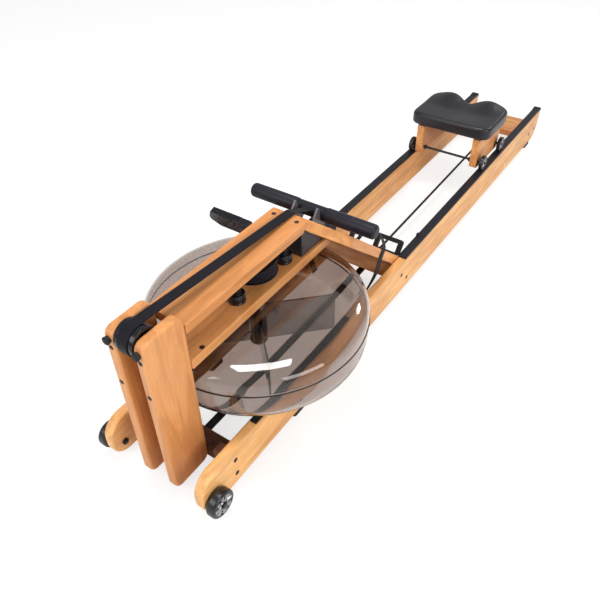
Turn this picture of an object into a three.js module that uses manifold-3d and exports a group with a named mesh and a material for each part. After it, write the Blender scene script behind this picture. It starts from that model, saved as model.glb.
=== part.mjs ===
// Water rowing machine: a wooden rail frame that stands on rubber feet, a water tank between the
// front rails, two decks over it that carry the belt drive, an inclined footboard with straps and
// the handle's rests, and a rolling seat behind it.
//
// Millimetres. X runs across the machine, Y from the upright legs at the front to the seat's end,
// Z up. Y is measured from the middle of the rails, Z from the floor. At the end the model is moved
// along Y, so that its origin lies under the middle of its box.

import * as THREE from 'three';
import { mergeVertices } from 'three/addons/utils/BufferGeometryUtils.js';
import Module from 'manifold-3d';

const wasm = await Module();
wasm.setup();

// Clearances
const gap = 0.3;
const overrun = 4;

// Rails and their feet
const railLength = 2100;
const railThickness = 26;
const railHeight = 111;
const railSpacing = 240;
const railFrontTopRadius = 50;
const railFrontBottomRadius = 42;
const railRearTopRadius = 6;
const railRearBottomRadius = 65;
const footHeight = 14;
const footLength = 50;
const footWidth = 24;
const footRadius = 8;
const footFrontInset = 357;
const footRearInset = 90;
const boltHeadRadius = 5.5;
const boltHeadDepth = 3;

// Seat tracks on the rails
const trackThickness = 6;
const trackFootboardClearance = 5.4;
const trackRearInset = 5;
const stopSetback = 120;
const stopLength = 12;
const stopWidth = 5;
const stopHeight = 7;

// Rubber pads that the tank lies on
const padWidth = 17;
const padThickness = 4.3;
const padLength = 402;
const padInset = 5;

// Castors at the front ends
const castorRadius = 34;
const castorWidth = 24;
const castorRimWidth = 7;
const castorHubRadius = 27;
const castorHubRecess = 4;
const castorBossRadius = 9;
const castorStandOff = 4;
const castorInset = 31;
const castorHeight = 35;
const castorBoltRadius = 4.7;
const castorBoltHeadRadius = 8;
const castorBoltHeadThickness = 6;
const castorWasherRadius = 9;

// Cross boards and the bar along the middle
const frontBoardWidth = 47;
const frontBoardThickness = 24;
const frontBoardClearance = 2;
const cleatThickness = 24.7;
const cleatLength = 27;
const cleatHeight = 89;
const cleatBoltHeight = 30;
const cleatBoltSpacing = 47;
const rearBoardLength = 134;
const rearBoardThickness = 25;
const rearBoardInset = 5;
const rearBoardHeight = 31.5;
const rearBoltSpacing = 64;
const spineWidth = 19;
const spineThickness = 8;
const spineClearance = 6;

// Upright legs
const legThickness = 25;
const legSpacing = 50;
const legDepth = 107;
const legLength = 441;
const legClearance = 1;
const legInset = 16;
const legRadius = 20;
const legBoltDrops = [43, 138];
const bumperRadius = 9;
const bumperLength = 9.5;
const bumperDrop = 21;

// Decks
const deckWidth = 102;
const deckThickness = 25;
const topDeckDrop = 26;
const deckClearHeight = 72;
const footboardTankClearance = 20.7;
const footboardBobbinClearance = 33;
const deckHoleRadius = 5;
const deckHoleDepth = 8;
const topDeckHoleSpacing = 64;
const topDeckHoleInset = 22;
const lowerDeckHoleOffset = 42;
const lowerDeckHoleInset = 40;
const spacerWidth = 88;
const spacerClearance = 12.6;

// Footboard, its block, heel rests and straps
const footboardAngle = THREE.MathUtils.degToRad(40.1);
const footboardThickness = 26;
const footboardLength = 511;
const footboardTaper = 120;
const footBlockLength = 90;
const footBlockThickness = 44;
const footBlockBoltSpacing = 50;
const heelRestWidth = 85;
const heelRestHeight = 46;
const heelRestBar = 13;
const heelRestThickness = 13;
const heelRestInset = 31;
const heelRestRadius = 7;
const strapWidth = 25;
const strapThickness = 2;
const strapPlace = 337;
const strapStart = 28;
const strapArchHeight = 46;
const strapEdgeShare = 0.3;
const strapArchStartShare = 0.12;
const strapArchLeanShare = 0.25;
const strapArchPowerShare = 0.6;
const strapTailDrop = 125;
const strapTailSwing = 36;
const strapTailPowerShare = 1.5;

// Front pulley and its axle
const pulleyRadius = 32.7;
const pulleyAxleRadius = 6;
const pulleyAxleInset = 31;
const pulleyAxleDrop = 23;
const pulleyAxleSeat = 15;
const pulleyRecessRadius = 24;
const pulleyRecessDepth = 6;

// Belt, drum and guide bobbins
const beltWidth = 26;
const beltThickness = 2;
const beltBendRadius = 4;
const beltWrapAngle = THREE.MathUtils.degToRad(200);
const drumRadius = 50;
const drumFlangeRadius = 56;
const drumFlangeThickness = 2.5;
const drumLift = 29;
const drumHubRadius = 15;
const drumSideClearance = 1;
const bobbinFlangeRadius = 20;
const bobbinFlangeThickness = 24;
const bobbinNeckRadius = 12;
const bobbinNeckLength = 20;
const bobbinCapRadius = 16;
const bobbinCapThickness = 5;
const bobbinPinRadius = 5;
const bobbinPlaces = [
  { name: 'bobbin_front', side: 12, reach: -77 },
  { name: 'bobbin_rear', side: 15, reach: 95 },
];

// Handle and its rests on the footboard
const gripRadius = 18.5;
const gripEndRadius = 9;
const gripEndFlatShare = 0.25;
const gripEndReachShare = 0.5;
const gripCoreRadius = 12;
const handleLength = 360;
const handleHubRadius = 17;
const handleHubLength = 80;
const handleFaceGap = 27.5;
const handlePlace = 94.6;
const handleRestWidth = 5;
const handleRestOffset = 32;
const handleRestFront = 40.6;
const handleRestRear = 24;
const handleRestProngHeight = 34;
const handleRestProngDepth = 10;
const handleRestAngle = THREE.MathUtils.degToRad(40);

// Monitor beside the deck
const monitorWidth = 102;
const monitorHeight = 46;
const monitorThickness = 16;
const monitorTilt = THREE.MathUtils.degToRad(20);
const monitorSetback = 79.3;
const monitorRise = 5;
const monitorSlant = 14;
const monitorChin = 30;
const monitorChinRise = 17;
const monitorChinRadius = 26;
const monitorSideRadius = 12;
const monitorCornerRadius = 2;
const screenWidth = 70;
const screenHeight = 28;
const screenShift = 9;
const screenDepth = 1.5;
const screenRadius = 4;
const armLength = 24.4;
const armPinRadius = 5;
const armPinLength = 9;

// Tank: a squashed ball in two shells with a seal between them, and the paddle inside
const tankRadius = 266;
const tankWall = 4;
const tankDepth = 114;
const tankDome = 62.5;
const tankDepthShare = 4.15;
const tankDomeShare = 4.15;
const tankLegClearance = 0.6;
const tankCollarRadius = 32;
const sealHeight = 3;
const sealLip = 1.5;
const shaftRadius = 7;
const shaftClearance = 2;
const bladeCount = 4;
const bladeLength = 190;
const bladeHeight = 110;
const bladeThickness = 4;
const bladeFloorClearance = 16;
const paddleHubRadius = 22;

// Recoil cord
const cordRadius = 4;
const cordFrontHeight = 30;
const cordRearHeight = 49;

// Seat
const seatPlace = 518;
const seatLength = 200;
const seatWidth = 286;
const seatPadThickness = 44;
const seatHump = 16;
const seatNotchDepth = 26;
const seatRimRadius = 11;
const seatCornerRadius = 34;
const seatUndersideShare = 0.6;
const seatTopShares = [0.38, 0.6, 0.85];
const seatRimShares = [0.3, 2.2];
const seatNotchShare = 0.11;
const seatHumpPlaceShare = 0.25;
const seatHumpWidthShare = 0.17;
const seatRiseShares = [-0.1, 0.85];
const seatDishShare = 0.35;
const seatDishWidthShare = 0.3;
const seatDishLengthShare = 0.35;
const seatSteps = 56;
const seatPlateInset = 5;
const seatPlateLength = 147;
const seatPlateThickness = 4.7;
const seatBoardThickness = 25.6;
const seatBoardLength = 200;
const seatBoardHeight = 105;
const seatBoardClearance = 9;
const seatBoardSideGap = 4.4;
const seatBoardRearShift = 12;
const seatBoardRadius = 12;
const wheelRadius = 25;
const wheelWidth = 13;
const wheelHubRadius = 16;
const wheelHubRecess = 3;
const wheelBase = 165;
const axleRadius = 4;
const axleOverhang = 3;

// Numbers of steps round curves
const arcSteps = 6;
const cordSteps = 10;
const tankSteps = 48;
const wheelSteps = 20;
const domeSteps = 8;
const liningSteps = 6;
const smallSteps = 12;

// Places that follow from the sizes
const frontEnd = -railLength / 2;
const rearEnd = railLength / 2;
const railBottom = footHeight;
const railTop = footHeight + railHeight;
const railInner = railSpacing / 2;
const railOuter = railInner + railThickness;
const railMiddle = railInner + railThickness / 2;
const boardEnd = railInner - gap;
const trackTop = railTop + gap + trackThickness;
const castorY = frontEnd + castorInset;
const castorZ = railBottom + castorHeight;
const legFront = frontEnd + legInset;
const legRear = legFront + legDepth;
const legBottom = railBottom + legClearance;
const legTop = legBottom + legLength;
const legInner = legSpacing / 2;
const frontBoardStart = legRear + gap;
const frontBoardEnd = frontBoardStart + frontBoardWidth;
const frontBoardBottom = railBottom + frontBoardClearance;
const cleatMiddle = legRear - cleatLength / 2;
const rearBoardMiddle = rearEnd - rearBoardInset - rearBoardLength / 2;
const rearBoardBottom = railBottom + rearBoardHeight;
const deckFront = legRear + gap;
const topDeckTop = legTop - topDeckDrop;
const topDeckBottom = topDeckTop - deckThickness;
const lowerDeckTop = topDeckBottom - deckClearHeight;
const lowerDeckBottom = lowerDeckTop - deckThickness;
const pulleyY = legFront + pulleyAxleInset;
const pulleyZ = legTop - pulleyAxleDrop;
const tankY = legRear + tankLegClearance + sealLip + tankRadius;
const tankBottom = railTop + gap;
const seamZ = tankBottom + tankDepth;
const drumBottom = lowerDeckTop + drumLift;
const drumHeight = beltWidth + 2 * drumFlangeThickness + 2 * drumSideClearance;
const beltMidHeight = drumBottom + drumHeight / 2;
const beltOnDrum = drumRadius + gap + beltThickness / 2;
const beltOnPulley = pulleyRadius + gap + beltThickness / 2;
const wheelZ = trackTop + gap + wheelRadius;
const axleHalf = railMiddle + wheelWidth / 2 + axleOverhang;

// The footboard's own frame: s runs down the slope from its upper end, n stands square to its face
const slope = new THREE.Vector2(Math.cos(footboardAngle), -Math.sin(footboardAngle));
const square = new THREE.Vector2(Math.sin(footboardAngle), Math.cos(footboardAngle));

// The footboard clears the tank's dome, whose reach is measured square to the board, and the rear bobbin
const domePower = tankDomeShare / (tankDomeShare - 1);
const domeReaches = [square.x * tankRadius, square.y * tankDome].map((reach) => reach ** domePower);
const domeReach = (domeReaches[0] + domeReaches[1]) ** (1 / domePower);
const boardLift = domeReach + footboardTankClearance + footboardThickness;
const boardBehindTank = (boardLift - (topDeckTop - seamZ) * square.y) / square.x;
const boardBehindBobbin = bobbinPlaces[1].reach + bobbinFlangeRadius + footboardBobbinClearance;
const boardStart = tankY + Math.max(boardBehindTank, boardBehindBobbin);
const boardOrigin = new THREE.Vector2(boardStart, topDeckTop);
const deckRearEdge = boardStart - gap;

function onBoard(s, n) {
  return boardOrigin.clone().addScaledVector(slope, s).addScaledVector(square, n);
}

// How far along Y a line parallel to the footboard's face, n above it, passes the height z
function reachAt(z, n) {
  const start = onBoard(0, n);
  return start.x + ((z - start.y) * slope.x) / slope.y;
}

// Finishes
const finish = (color, roughness, metalness = 0) => ({ color, roughness, metalness });
const honeyWood = finish(0xc98243, 0.42);
const shadedWood = finish(0x6b3f22, 0.5);
const blackPlastic = finish(0x1c1d20, 0.45);
const blackRubber = finish(0x17181a, 0.8);
const blackVinyl = finish(0x232427, 0.5);
const blackWebbing = finish(0x202126, 0.85);
const blackSteel = finish(0x202022, 0.4, 0.8);
const greyPlastic = finish(0x8a8c8e, 0.55);
const greyBlock = finish(0x4d5156, 0.6);
const smokyTank = finish(0x6d625b, 0.12);
const screenGrey = finish(0x9aa39a, 0.3);

const machine = new THREE.Group();
machine.position.y = -(castorY - castorRadius + rearEnd) / 2;

const xAxis = new THREE.Vector3(1, 0, 0);
const yAxis = new THREE.Vector3(0, 1, 0);
const zAxis = new THREE.Vector3(0, 0, 1);

// Shared corners are merged and faces without area dropped, so that a shape is one closed skin
function closed(geometry) {
  const bare = geometry.clone();
  bare.deleteAttribute('normal');
  bare.deleteAttribute('uv');
  bare.clearGroups();
  const merged = mergeVertices(bare);
  const corners = [...merged.index.array];
  const kept = [];
  for (let i = 0; i < corners.length; i += 3) {
    const [a, b, c] = corners.slice(i, i + 3);
    if (a !== b && b !== c && c !== a) {
      kept.push(a, b, c);
    }
  }
  merged.setIndex(kept);
  return merged;
}

function asManifold(geometry) {
  const skin = closed(geometry);
  const vertProperties = new Float32Array(skin.attributes.position.array);
  const triVerts = new Uint32Array(skin.index.array);
  return new wasm.Manifold(new wasm.Mesh({ numProp: 3, vertProperties, triVerts }));
}

function asGeometry(solid) {
  const mesh = solid.getMesh();
  const geometry = new THREE.BufferGeometry();
  geometry.setAttribute('position', new THREE.BufferAttribute(new Float32Array(mesh.vertProperties), 3));
  geometry.setIndex([...mesh.triVerts]);
  return geometry;
}

function carve(geometry, cutters) {
  let solid = asManifold(geometry);
  for (const cutter of cutters) {
    solid = solid.subtract(asManifold(cutter));
  }
  return asGeometry(solid);
}

function join(geometries) {
  let solid = asManifold(geometries[0]);
  for (const geometry of geometries.slice(1)) {
    solid = solid.add(asManifold(geometry));
  }
  return asGeometry(solid);
}

function add(name, geometry, look) {
  const shape = closed(geometry);
  shape.computeVertexNormals();
  const material = new THREE.MeshStandardMaterial({ ...look, flatShading: true });
  const mesh = new THREE.Mesh(shape, material);
  mesh.name = name;
  machine.add(mesh);
  return mesh;
}

// An outline of corners [a, b, radius], given anticlockwise, with round corners
function outline(corners) {
  const shape = new THREE.Shape();
  corners.forEach(([a, b, radius = 0], index) => {
    const corner = new THREE.Vector2(a, b);
    const [backA, backB] = corners.at(index - 1);
    const [aheadA, aheadB] = corners[(index + 1) % corners.length];
    const back = new THREE.Vector2(backA, backB).sub(corner).normalize();
    const ahead = new THREE.Vector2(aheadA, aheadB).sub(corner).normalize();
    const halfAngle = Math.acos(back.dot(ahead)) / 2;
    const reach = radius / Math.tan(halfAngle);
    const start = corner.clone().addScaledVector(back, reach);
    if (index === 0) {
      shape.moveTo(start.x, start.y);
    } else {
      shape.lineTo(start.x, start.y);
    }
    if (radius > 0) {
      const end = corner.clone().addScaledVector(ahead, reach);
      const inward = back.clone().add(ahead).normalize();
      const centre = corner.clone().addScaledVector(inward, radius / Math.sin(halfAngle));
      const from = start.sub(centre).angle();
      const to = end.sub(centre).angle();
      shape.absarc(centre.x, centre.y, radius, from, to, ahead.cross(back) < 0);
    }
  });
  shape.closePath();
  return shape;
}

function rectangle(a0, a1, b0, b1, radius = 0) {
  return outline([[a0, b0, radius], [a1, b0, radius], [a1, b1, radius], [a0, b1, radius]]);
}

function pushed(shape, depth) {
  return new THREE.ExtrudeGeometry(shape, { depth, bevelEnabled: false, curveSegments: arcSteps });
}

// A shape drawn in (y, z) and pushed along X
function alongX(shape, from, to) {
  const turn = new THREE.Matrix4().makeBasis(yAxis, zAxis, xAxis);
  return pushed(shape, to - from).applyMatrix4(turn).translate(from, 0, 0);
}

// A shape drawn in (x, y) and pushed along Z
function alongZ(shape, from, to) {
  return pushed(shape, to - from).translate(0, 0, from);
}

// A profile of [radius, height] turned about Z or about X
function turnedZ(profile, steps = wheelSteps) {
  const points = profile.map(([radius, height]) => new THREE.Vector2(radius, height));
  return new THREE.LatheGeometry(points, steps).rotateX(Math.PI / 2);
}

function turnedX(profile, steps = wheelSteps) {
  const points = profile.map(([radius, height]) => new THREE.Vector2(radius, height));
  return new THREE.LatheGeometry(points, steps).rotateZ(-Math.PI / 2);
}

// A round pin or hole between two places along X or Z
function pinX(radius, from, to, steps = smallSteps) {
  return turnedX([[0, from], [radius, from], [radius, to], [0, to]], steps);
}

function pinZ(radius, from, to, steps = smallSteps) {
  return turnedZ([[0, from], [radius, from], [radius, to], [0, to]], steps);
}

// A shape drawn in the footboard's frame as (s, n) and pushed along X
function onFootboard(corners, from, to) {
  const placed = corners.map(([s, n, radius]) => {
    const point = onBoard(s, n);
    return [point.x, point.y, radius];
  });
  return alongX(outline(placed), from, to);
}

// A flat strap along stations of { point, across }: its width lies along across
function strap(stations, width, thickness) {
  const positions = [];
  stations.forEach(({ point, across }, index) => {
    const before = stations[Math.max(index - 1, 0)].point;
    const after = stations[Math.min(index + 1, stations.length - 1)].point;
    const along = after.clone().sub(before).normalize();
    const side = across.clone().addScaledVector(along, -across.dot(along)).normalize();
    const up = side.clone().cross(along);
    const corners = [[-1, -1], [1, -1], [1, 1], [-1, 1]];
    for (const [sideSign, upSign] of corners) {
      const corner = point.clone().addScaledVector(side, (sideSign * width) / 2);
      corner.addScaledVector(up, (upSign * thickness) / 2);
      positions.push(corner.x, corner.y, corner.z);
    }
  });
  const faces = [0, 1, 2, 0, 2, 3];
  for (let i = 0; i + 1 < stations.length; i += 1) {
    for (let k = 0; k < 4; k += 1) {
      const a = 4 * i + k;
      const b = 4 * i + ((k + 1) % 4);
      faces.push(a, a + 4, b + 4, a, b + 4, b);
    }
  }
  const last = 4 * (stations.length - 1);
  faces.push(last, last + 2, last + 1, last, last + 3, last + 2);
  const geometry = new THREE.BufferGeometry();
  geometry.setAttribute('position', new THREE.Float32BufferAttribute(positions, 3));
  geometry.setIndex(faces);
  return facingOut(geometry);
}

// Turns a closed skin inside out if its volume comes out negative
function facingOut(geometry) {
  const place = geometry.attributes.position;
  const corners = geometry.index.array;
  const [a, b, c] = [new THREE.Vector3(), new THREE.Vector3(), new THREE.Vector3()];
  let volume = 0;
  for (let i = 0; i < corners.length; i += 3) {
    a.fromBufferAttribute(place, corners[i]);
    b.fromBufferAttribute(place, corners[i + 1]);
    c.fromBufferAttribute(place, corners[i + 2]);
    volume += a.dot(b.cross(c));
  }
  if (volume < 0) {
    for (let i = 0; i < corners.length; i += 3) {
      [corners[i], corners[i + 1]] = [corners[i + 1], corners[i]];
    }
  }
  return geometry;
}

const sides = [['left', -1], ['right', 1]];

// Two places along X on one side, smaller first
function span(sign, near, far) {
  return sign > 0 ? [near, far] : [-far, -near];
}

// Rails: planks with round ends, holes for the castor bolts and seats for the bolt heads
function makeRails() {
  const block = onBoard(footboardLength, -footboardThickness - gap - footBlockThickness / 2);
  const blockBolts = [-1, 1].map((end) =>
    block.clone().addScaledVector(slope, (end * footBlockBoltSpacing) / 2));
  const cleatBolt = frontBoardBottom + cleatBoltHeight;
  const rearBolt = rearBoardBottom + rearBoardThickness / 2;
  const bolts = [
    [cleatMiddle, cleatBolt],
    [cleatMiddle, cleatBolt + cleatBoltSpacing],
    ...blockBolts.map((place) => [place.x, place.y]),
    [rearBoardMiddle - rearBoltSpacing / 2, rearBolt],
    [rearBoardMiddle + rearBoltSpacing / 2, rearBolt],
  ];
  const side = outline([
    [frontEnd, railBottom, railFrontBottomRadius],
    [rearEnd, railBottom, railRearBottomRadius],
    [rearEnd, railTop, railRearTopRadius],
    [frontEnd, railTop, railFrontTopRadius],
  ]);
  for (const [name, sign] of sides) {
    const heads = bolts.map(([y, z]) => {
      const [from, to] = span(sign, railOuter - boltHeadDepth, railOuter + overrun);
      return pinX(boltHeadRadius, from, to).translate(0, y, z);
    });
    const [from, to] = span(sign, railInner - overrun, railOuter + overrun);
    const castorHole = pinX(castorBoltRadius + gap, from, to).translate(0, castorY, castorZ);
    const plank = alongX(side, ...span(sign, railInner, railOuter));
    add(`rail_${name}`, carve(plank, [...heads, castorHole]), honeyWood);
  }
}

// Feet: rubber blocks under the rails
function makeFeet() {
  const places = [['front', frontEnd + footFrontInset], ['rear', rearEnd - footRearInset]];
  for (const [name, sign] of sides) {
    for (const [end, y] of places) {
      const middle = sign * railMiddle;
      const plan = rectangle(
        middle - footWidth / 2,
        middle + footWidth / 2,
        y - footLength / 2,
        y + footLength / 2,
        footRadius,
      );
      add(`foot_${end}_${name}`, alongZ(plan, 0, railBottom - gap), blackRubber);
    }
  }
}

// Tracks: black strips for the seat's wheels, each with a small stop at its inner edge
function makeTracks() {
  const bottom = railTop + gap;
  for (const [name, sign] of sides) {
    const front = reachAt(trackTop, 0) + trackFootboardClearance;
    const profile = rectangle(front, rearEnd - trackRearInset, bottom, trackTop);
    const strip = alongX(profile, ...span(sign, railInner, railOuter));
    const stopSide = rectangle(
      front + stopSetback - stopLength / 2,
      front + stopSetback + stopLength / 2,
      bottom,
      trackTop + stopHeight,
    );
    const stop = alongX(stopSide, ...span(sign, railInner, railInner + stopWidth));
    add(`track_${name}`, join([strip, stop]), blackPlastic);
  }
}

// Pads: rubber strips on the rails under the tank, cut hollow where the tank lies in them
function makePads() {
  for (const [name, sign] of sides) {
    const bottom = railTop + gap;
    const plan = rectangle(tankY - padLength / 2, tankY + padLength / 2, bottom, bottom + padThickness);
    const near = railInner + padInset;
    const strip = alongX(plan, ...span(sign, near, near + padWidth));
    add(`rail_pad_${name}`, carve(strip, [tankBody(gap)]), blackRubber);
  }
}

// Castors: a wheel with a tyre outside each rail, turning on a bolt through the rail
function makeCastors() {
  const inner = railOuter + castorStandOff;
  const outer = inner + castorWidth;
  const bore = castorBoltRadius + gap;
  const profile = [
    [bore, inner],
    [castorHubRadius, inner],
    [castorRadius - castorRimWidth / 2, inner],
    [castorRadius, inner + castorRimWidth / 2],
    [castorRadius, outer - castorRimWidth / 2],
    [castorRadius - castorRimWidth / 2, outer],
    [castorHubRadius, outer],
    [castorHubRadius, outer - castorHubRecess],
    [castorBossRadius, outer - castorHubRecess],
    [castorBossRadius, outer],
    [bore, outer],
    [bore, inner],
  ];
  const headInner = railInner - gap;
  const bolt = [
    [0, headInner - castorBoltHeadThickness],
    [castorBoltHeadRadius, headInner - castorBoltHeadThickness],
    [castorBoltHeadRadius, headInner],
    [castorBoltRadius, headInner],
    [castorBoltRadius, railOuter + gap],
    [castorWasherRadius, railOuter + gap],
    [castorWasherRadius, inner - gap],
    [castorBoltRadius, inner - gap],
    [castorBoltRadius, outer + gap],
    [castorBoltHeadRadius, outer + gap],
    [castorBoltHeadRadius, outer + gap + castorBoltHeadThickness / 2],
    [0, outer + gap + castorBoltHeadThickness / 2],
  ];
  for (const [name, sign] of sides) {
    const turn = sign > 0 ? 0 : Math.PI;
    const wheel = turnedX(profile).rotateZ(turn).translate(0, castorY, castorZ);
    const pin = turnedX(bolt, smallSteps).rotateZ(turn).translate(0, castorY, castorZ);
    add(`castor_${name}`, wheel, blackRubber);
    add(`castor_bolt_${name}`, pin, blackSteel);
  }
}

// Front cross board: a plank behind the legs with an upright cleat at each end for the rails' bolts
function makeFrontBoard() {
  const plank = alongX(
    rectangle(frontBoardStart, frontBoardEnd, frontBoardBottom, frontBoardBottom + frontBoardThickness),
    -boardEnd,
    boardEnd,
  );
  const cleat = rectangle(
    legRear - cleatLength,
    frontBoardStart + gap,
    frontBoardBottom,
    frontBoardBottom + cleatHeight,
  );
  const cleats = sides.map(([, sign]) => alongX(cleat, ...span(sign, boardEnd - cleatThickness, boardEnd)));
  add('front_cross_board', join([plank, ...cleats]), shadedWood);
}

// Rear cross board: joins the rails' rear ends
function makeRearBoard() {
  const side = rectangle(
    rearBoardMiddle - rearBoardLength / 2,
    rearBoardMiddle + rearBoardLength / 2,
    rearBoardBottom,
    rearBoardBottom + rearBoardThickness,
  );
  add('rear_cross_board', alongX(side, -boardEnd, boardEnd), honeyWood);
}

// Spine bar: from the front cross board under the tank to the footboard's block
function makeSpine() {
  const bottom = railBottom + spineClearance;
  const top = bottom + spineThickness;
  const below = -footboardThickness - 2 * gap - footBlockThickness;
  const bar = outline([
    [frontBoardEnd + gap, bottom],
    [reachAt(bottom, below), bottom],
    [reachAt(top, below), top],
    [frontBoardEnd + gap, top],
  ]);
  add('spine_bar', alongX(bar, -spineWidth / 2, spineWidth / 2), blackSteel);
}

// Legs: two upright boards that hold the decks' front ends and the pulley's axle
function makeLegs() {
  for (const [name, sign] of sides) {
    const side = rectangle(legFront, legRear, legBottom, legTop, legRadius);
    const board = alongX(side, ...span(sign, legInner, legInner + legThickness));
    const [from, to] = span(sign, legInner - overrun, legInner + pulleyAxleSeat);
    const seat = pinX(pulleyAxleRadius + gap, from, to, wheelSteps).translate(0, pulleyY, pulleyZ);
    const heads = legBoltDrops.map((drop) => {
      const head = pinZ(boltHeadRadius, -overrun, boltHeadDepth).rotateX(-Math.PI / 2);
      return head.translate(sign * (legInner + legThickness / 2), legFront, legTop - drop);
    });
    add(`leg_${name}`, carve(board, [seat, ...heads]), honeyWood);
    const knob = pinZ(bumperRadius, gap, gap + bumperLength, wheelSteps).rotateX(Math.PI / 2);
    knob.translate(sign * (legInner + legThickness / 2), legFront, legTop - bumperDrop);
    add(`bumper_${name}`, knob, blackRubber);
  }
}

// Decks: two planks behind the legs, bevelled where they meet the footboard, a block between them
function makeDecks() {
  const half = deckWidth / 2;
  const drop = (deckThickness * square.x) / square.y;
  const topSide = outline([
    [deckFront, topDeckBottom],
    [deckRearEdge - drop, topDeckBottom],
    [deckRearEdge, topDeckTop],
    [deckFront, topDeckTop],
  ]);
  const topHoles = sides.map(([, sign]) => {
    const hole = pinZ(deckHoleRadius, topDeckTop - deckHoleDepth, topDeckTop + overrun);
    return hole.translate((sign * topDeckHoleSpacing) / 2, deckRearEdge - topDeckHoleInset, 0);
  });
  add('top_deck', carve(alongX(topSide, -half, half), topHoles), honeyWood);

  const under = -footboardThickness - gap;
  const lowerSide = outline([
    [deckFront, lowerDeckBottom],
    [reachAt(lowerDeckBottom, under), lowerDeckBottom],
    [reachAt(lowerDeckTop, under), lowerDeckTop],
    [deckFront, lowerDeckTop],
  ]);
  const lowerHoles = sides.map(([, sign]) => {
    const hole = pinZ(deckHoleRadius, lowerDeckTop - deckHoleDepth, lowerDeckTop + overrun);
    return hole.translate(sign * lowerDeckHoleOffset, deckFront + lowerDeckHoleInset, 0);
  });
  const shaftHole = pinZ(shaftRadius + shaftClearance, lowerDeckBottom - overrun, lowerDeckTop + overrun);
  shaftHole.translate(0, tankY, 0);
  add('lower_deck', carve(alongX(lowerSide, -half, half), [...lowerHoles, shaftHole]), honeyWood);

  const [bottom, top] = [lowerDeckTop + gap, topDeckBottom - gap];
  const spacerFront = tankY + bobbinPlaces[1].reach + bobbinFlangeRadius + spacerClearance;
  const spacer = outline([
    [spacerFront, bottom],
    [reachAt(bottom, under) - gap, bottom],
    [reachAt(top, under) - gap, top],
    [spacerFront, top],
  ]);
  add('rear_spacer', alongX(spacer, -spacerWidth / 2, spacerWidth / 2), greyBlock);
}

// Footboard: the inclined plank for the feet, and the block that holds its lower end to the rails
function makeFootboard() {
  const plan = outline([
    [-deckWidth / 2, 0],
    [deckWidth / 2, 0],
    [boardEnd, footboardTaper],
    [boardEnd, footboardLength],
    [-boardEnd, footboardLength],
    [-boardEnd, footboardTaper],
  ]);
  const turn = new THREE.Matrix4().makeBasis(
    xAxis,
    new THREE.Vector3(0, slope.x, slope.y),
    new THREE.Vector3(0, square.x, square.y),
  );
  const start = onBoard(0, -footboardThickness);
  const board = pushed(plan, footboardThickness).applyMatrix4(turn).translate(0, start.x, start.y);
  add('footboard', board, honeyWood);
  const [from, to] = [footboardLength - footBlockLength / 2, footboardLength + footBlockLength / 2];
  const top = -footboardThickness - gap;
  const block = [
    [from, top - footBlockThickness],
    [to, top - footBlockThickness],
    [to, top],
    [from, top],
  ];
  add('foot_block', onFootboard(block, -boardEnd, boardEnd), honeyWood);
}

// Heel rests: an open frame for each heel, standing square on the footboard
function makeHeelRests() {
  const place = footboardLength - heelRestInset;
  for (const [name, sign] of sides) {
    const [left, right] = span(sign, boardEnd - heelRestWidth, boardEnd);
    const frame = rectangle(left, right, gap, gap + heelRestHeight, heelRestRadius);
    const window = rectangle(
      left + heelRestBar,
      right - heelRestBar,
      gap + heelRestBar / 2,
      gap + heelRestHeight - heelRestBar,
    );
    frame.holes.push(window);
    const turn = new THREE.Matrix4().makeBasis(
      xAxis,
      new THREE.Vector3(0, square.x, square.y),
      new THREE.Vector3(0, -slope.x, -slope.y),
    );
    const start = onBoard(place, 0);
    const rest = pushed(frame, heelRestThickness).applyMatrix4(turn).translate(0, start.x, start.y);
    add(`heel_rest_${name}`, rest, blackPlastic);
  }
}

// Foot straps: webbing over each foot, round the board's edge, with a loose tail under the board
function makeFootStraps() {
  const lift = gap + strapThickness / 2;
  const edge = boardEnd + lift;
  const inner = strapStart;
  const width = edge - inner;
  const below = -footboardThickness - strapWidth * strapEdgeShare;
  const arch = [];
  for (let i = 0; i <= 2 * arcSteps; i += 1) {
    const t = i / (2 * arcSteps);
    const across = inner + width * (strapArchStartShare + (1 - strapArchStartShare) * t);
    const bow = Math.sin(Math.PI * t) ** strapArchPowerShare;
    const rise = strapArchHeight * bow * (1 - strapArchLeanShare * t);
    arch.push([across, lift + rise]);
  }
  const tailStart = onBoard(strapPlace, below);
  for (const [name, sign] of sides) {
    const across = new THREE.Vector3(0, slope.x, slope.y);
    const stations = [];
    const place = (x, n) => {
      const point = onBoard(strapPlace, n);
      stations.push({ point: new THREE.Vector3(sign * x, point.x, point.y), across });
    };
    place(inner, lift);
    arch.forEach(([x, n]) => place(x, n));
    place(edge, below / 2);
    place(edge, below);
    for (let i = 1; i <= arcSteps; i += 1) {
      const t = i / arcSteps;
      const x = edge - strapTailSwing * t ** strapTailPowerShare;
      const z = tailStart.y - strapTailDrop * t;
      const turned = new THREE.Vector3(0, slope.x + (1 - slope.x) * t, slope.y * (1 - t));
      stations.push({ point: new THREE.Vector3(sign * x, tailStart.x, z), across: turned });
    }
    add(`foot_strap_${name}`, strap(stations, strapWidth, strapThickness), blackWebbing);
  }
}

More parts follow.
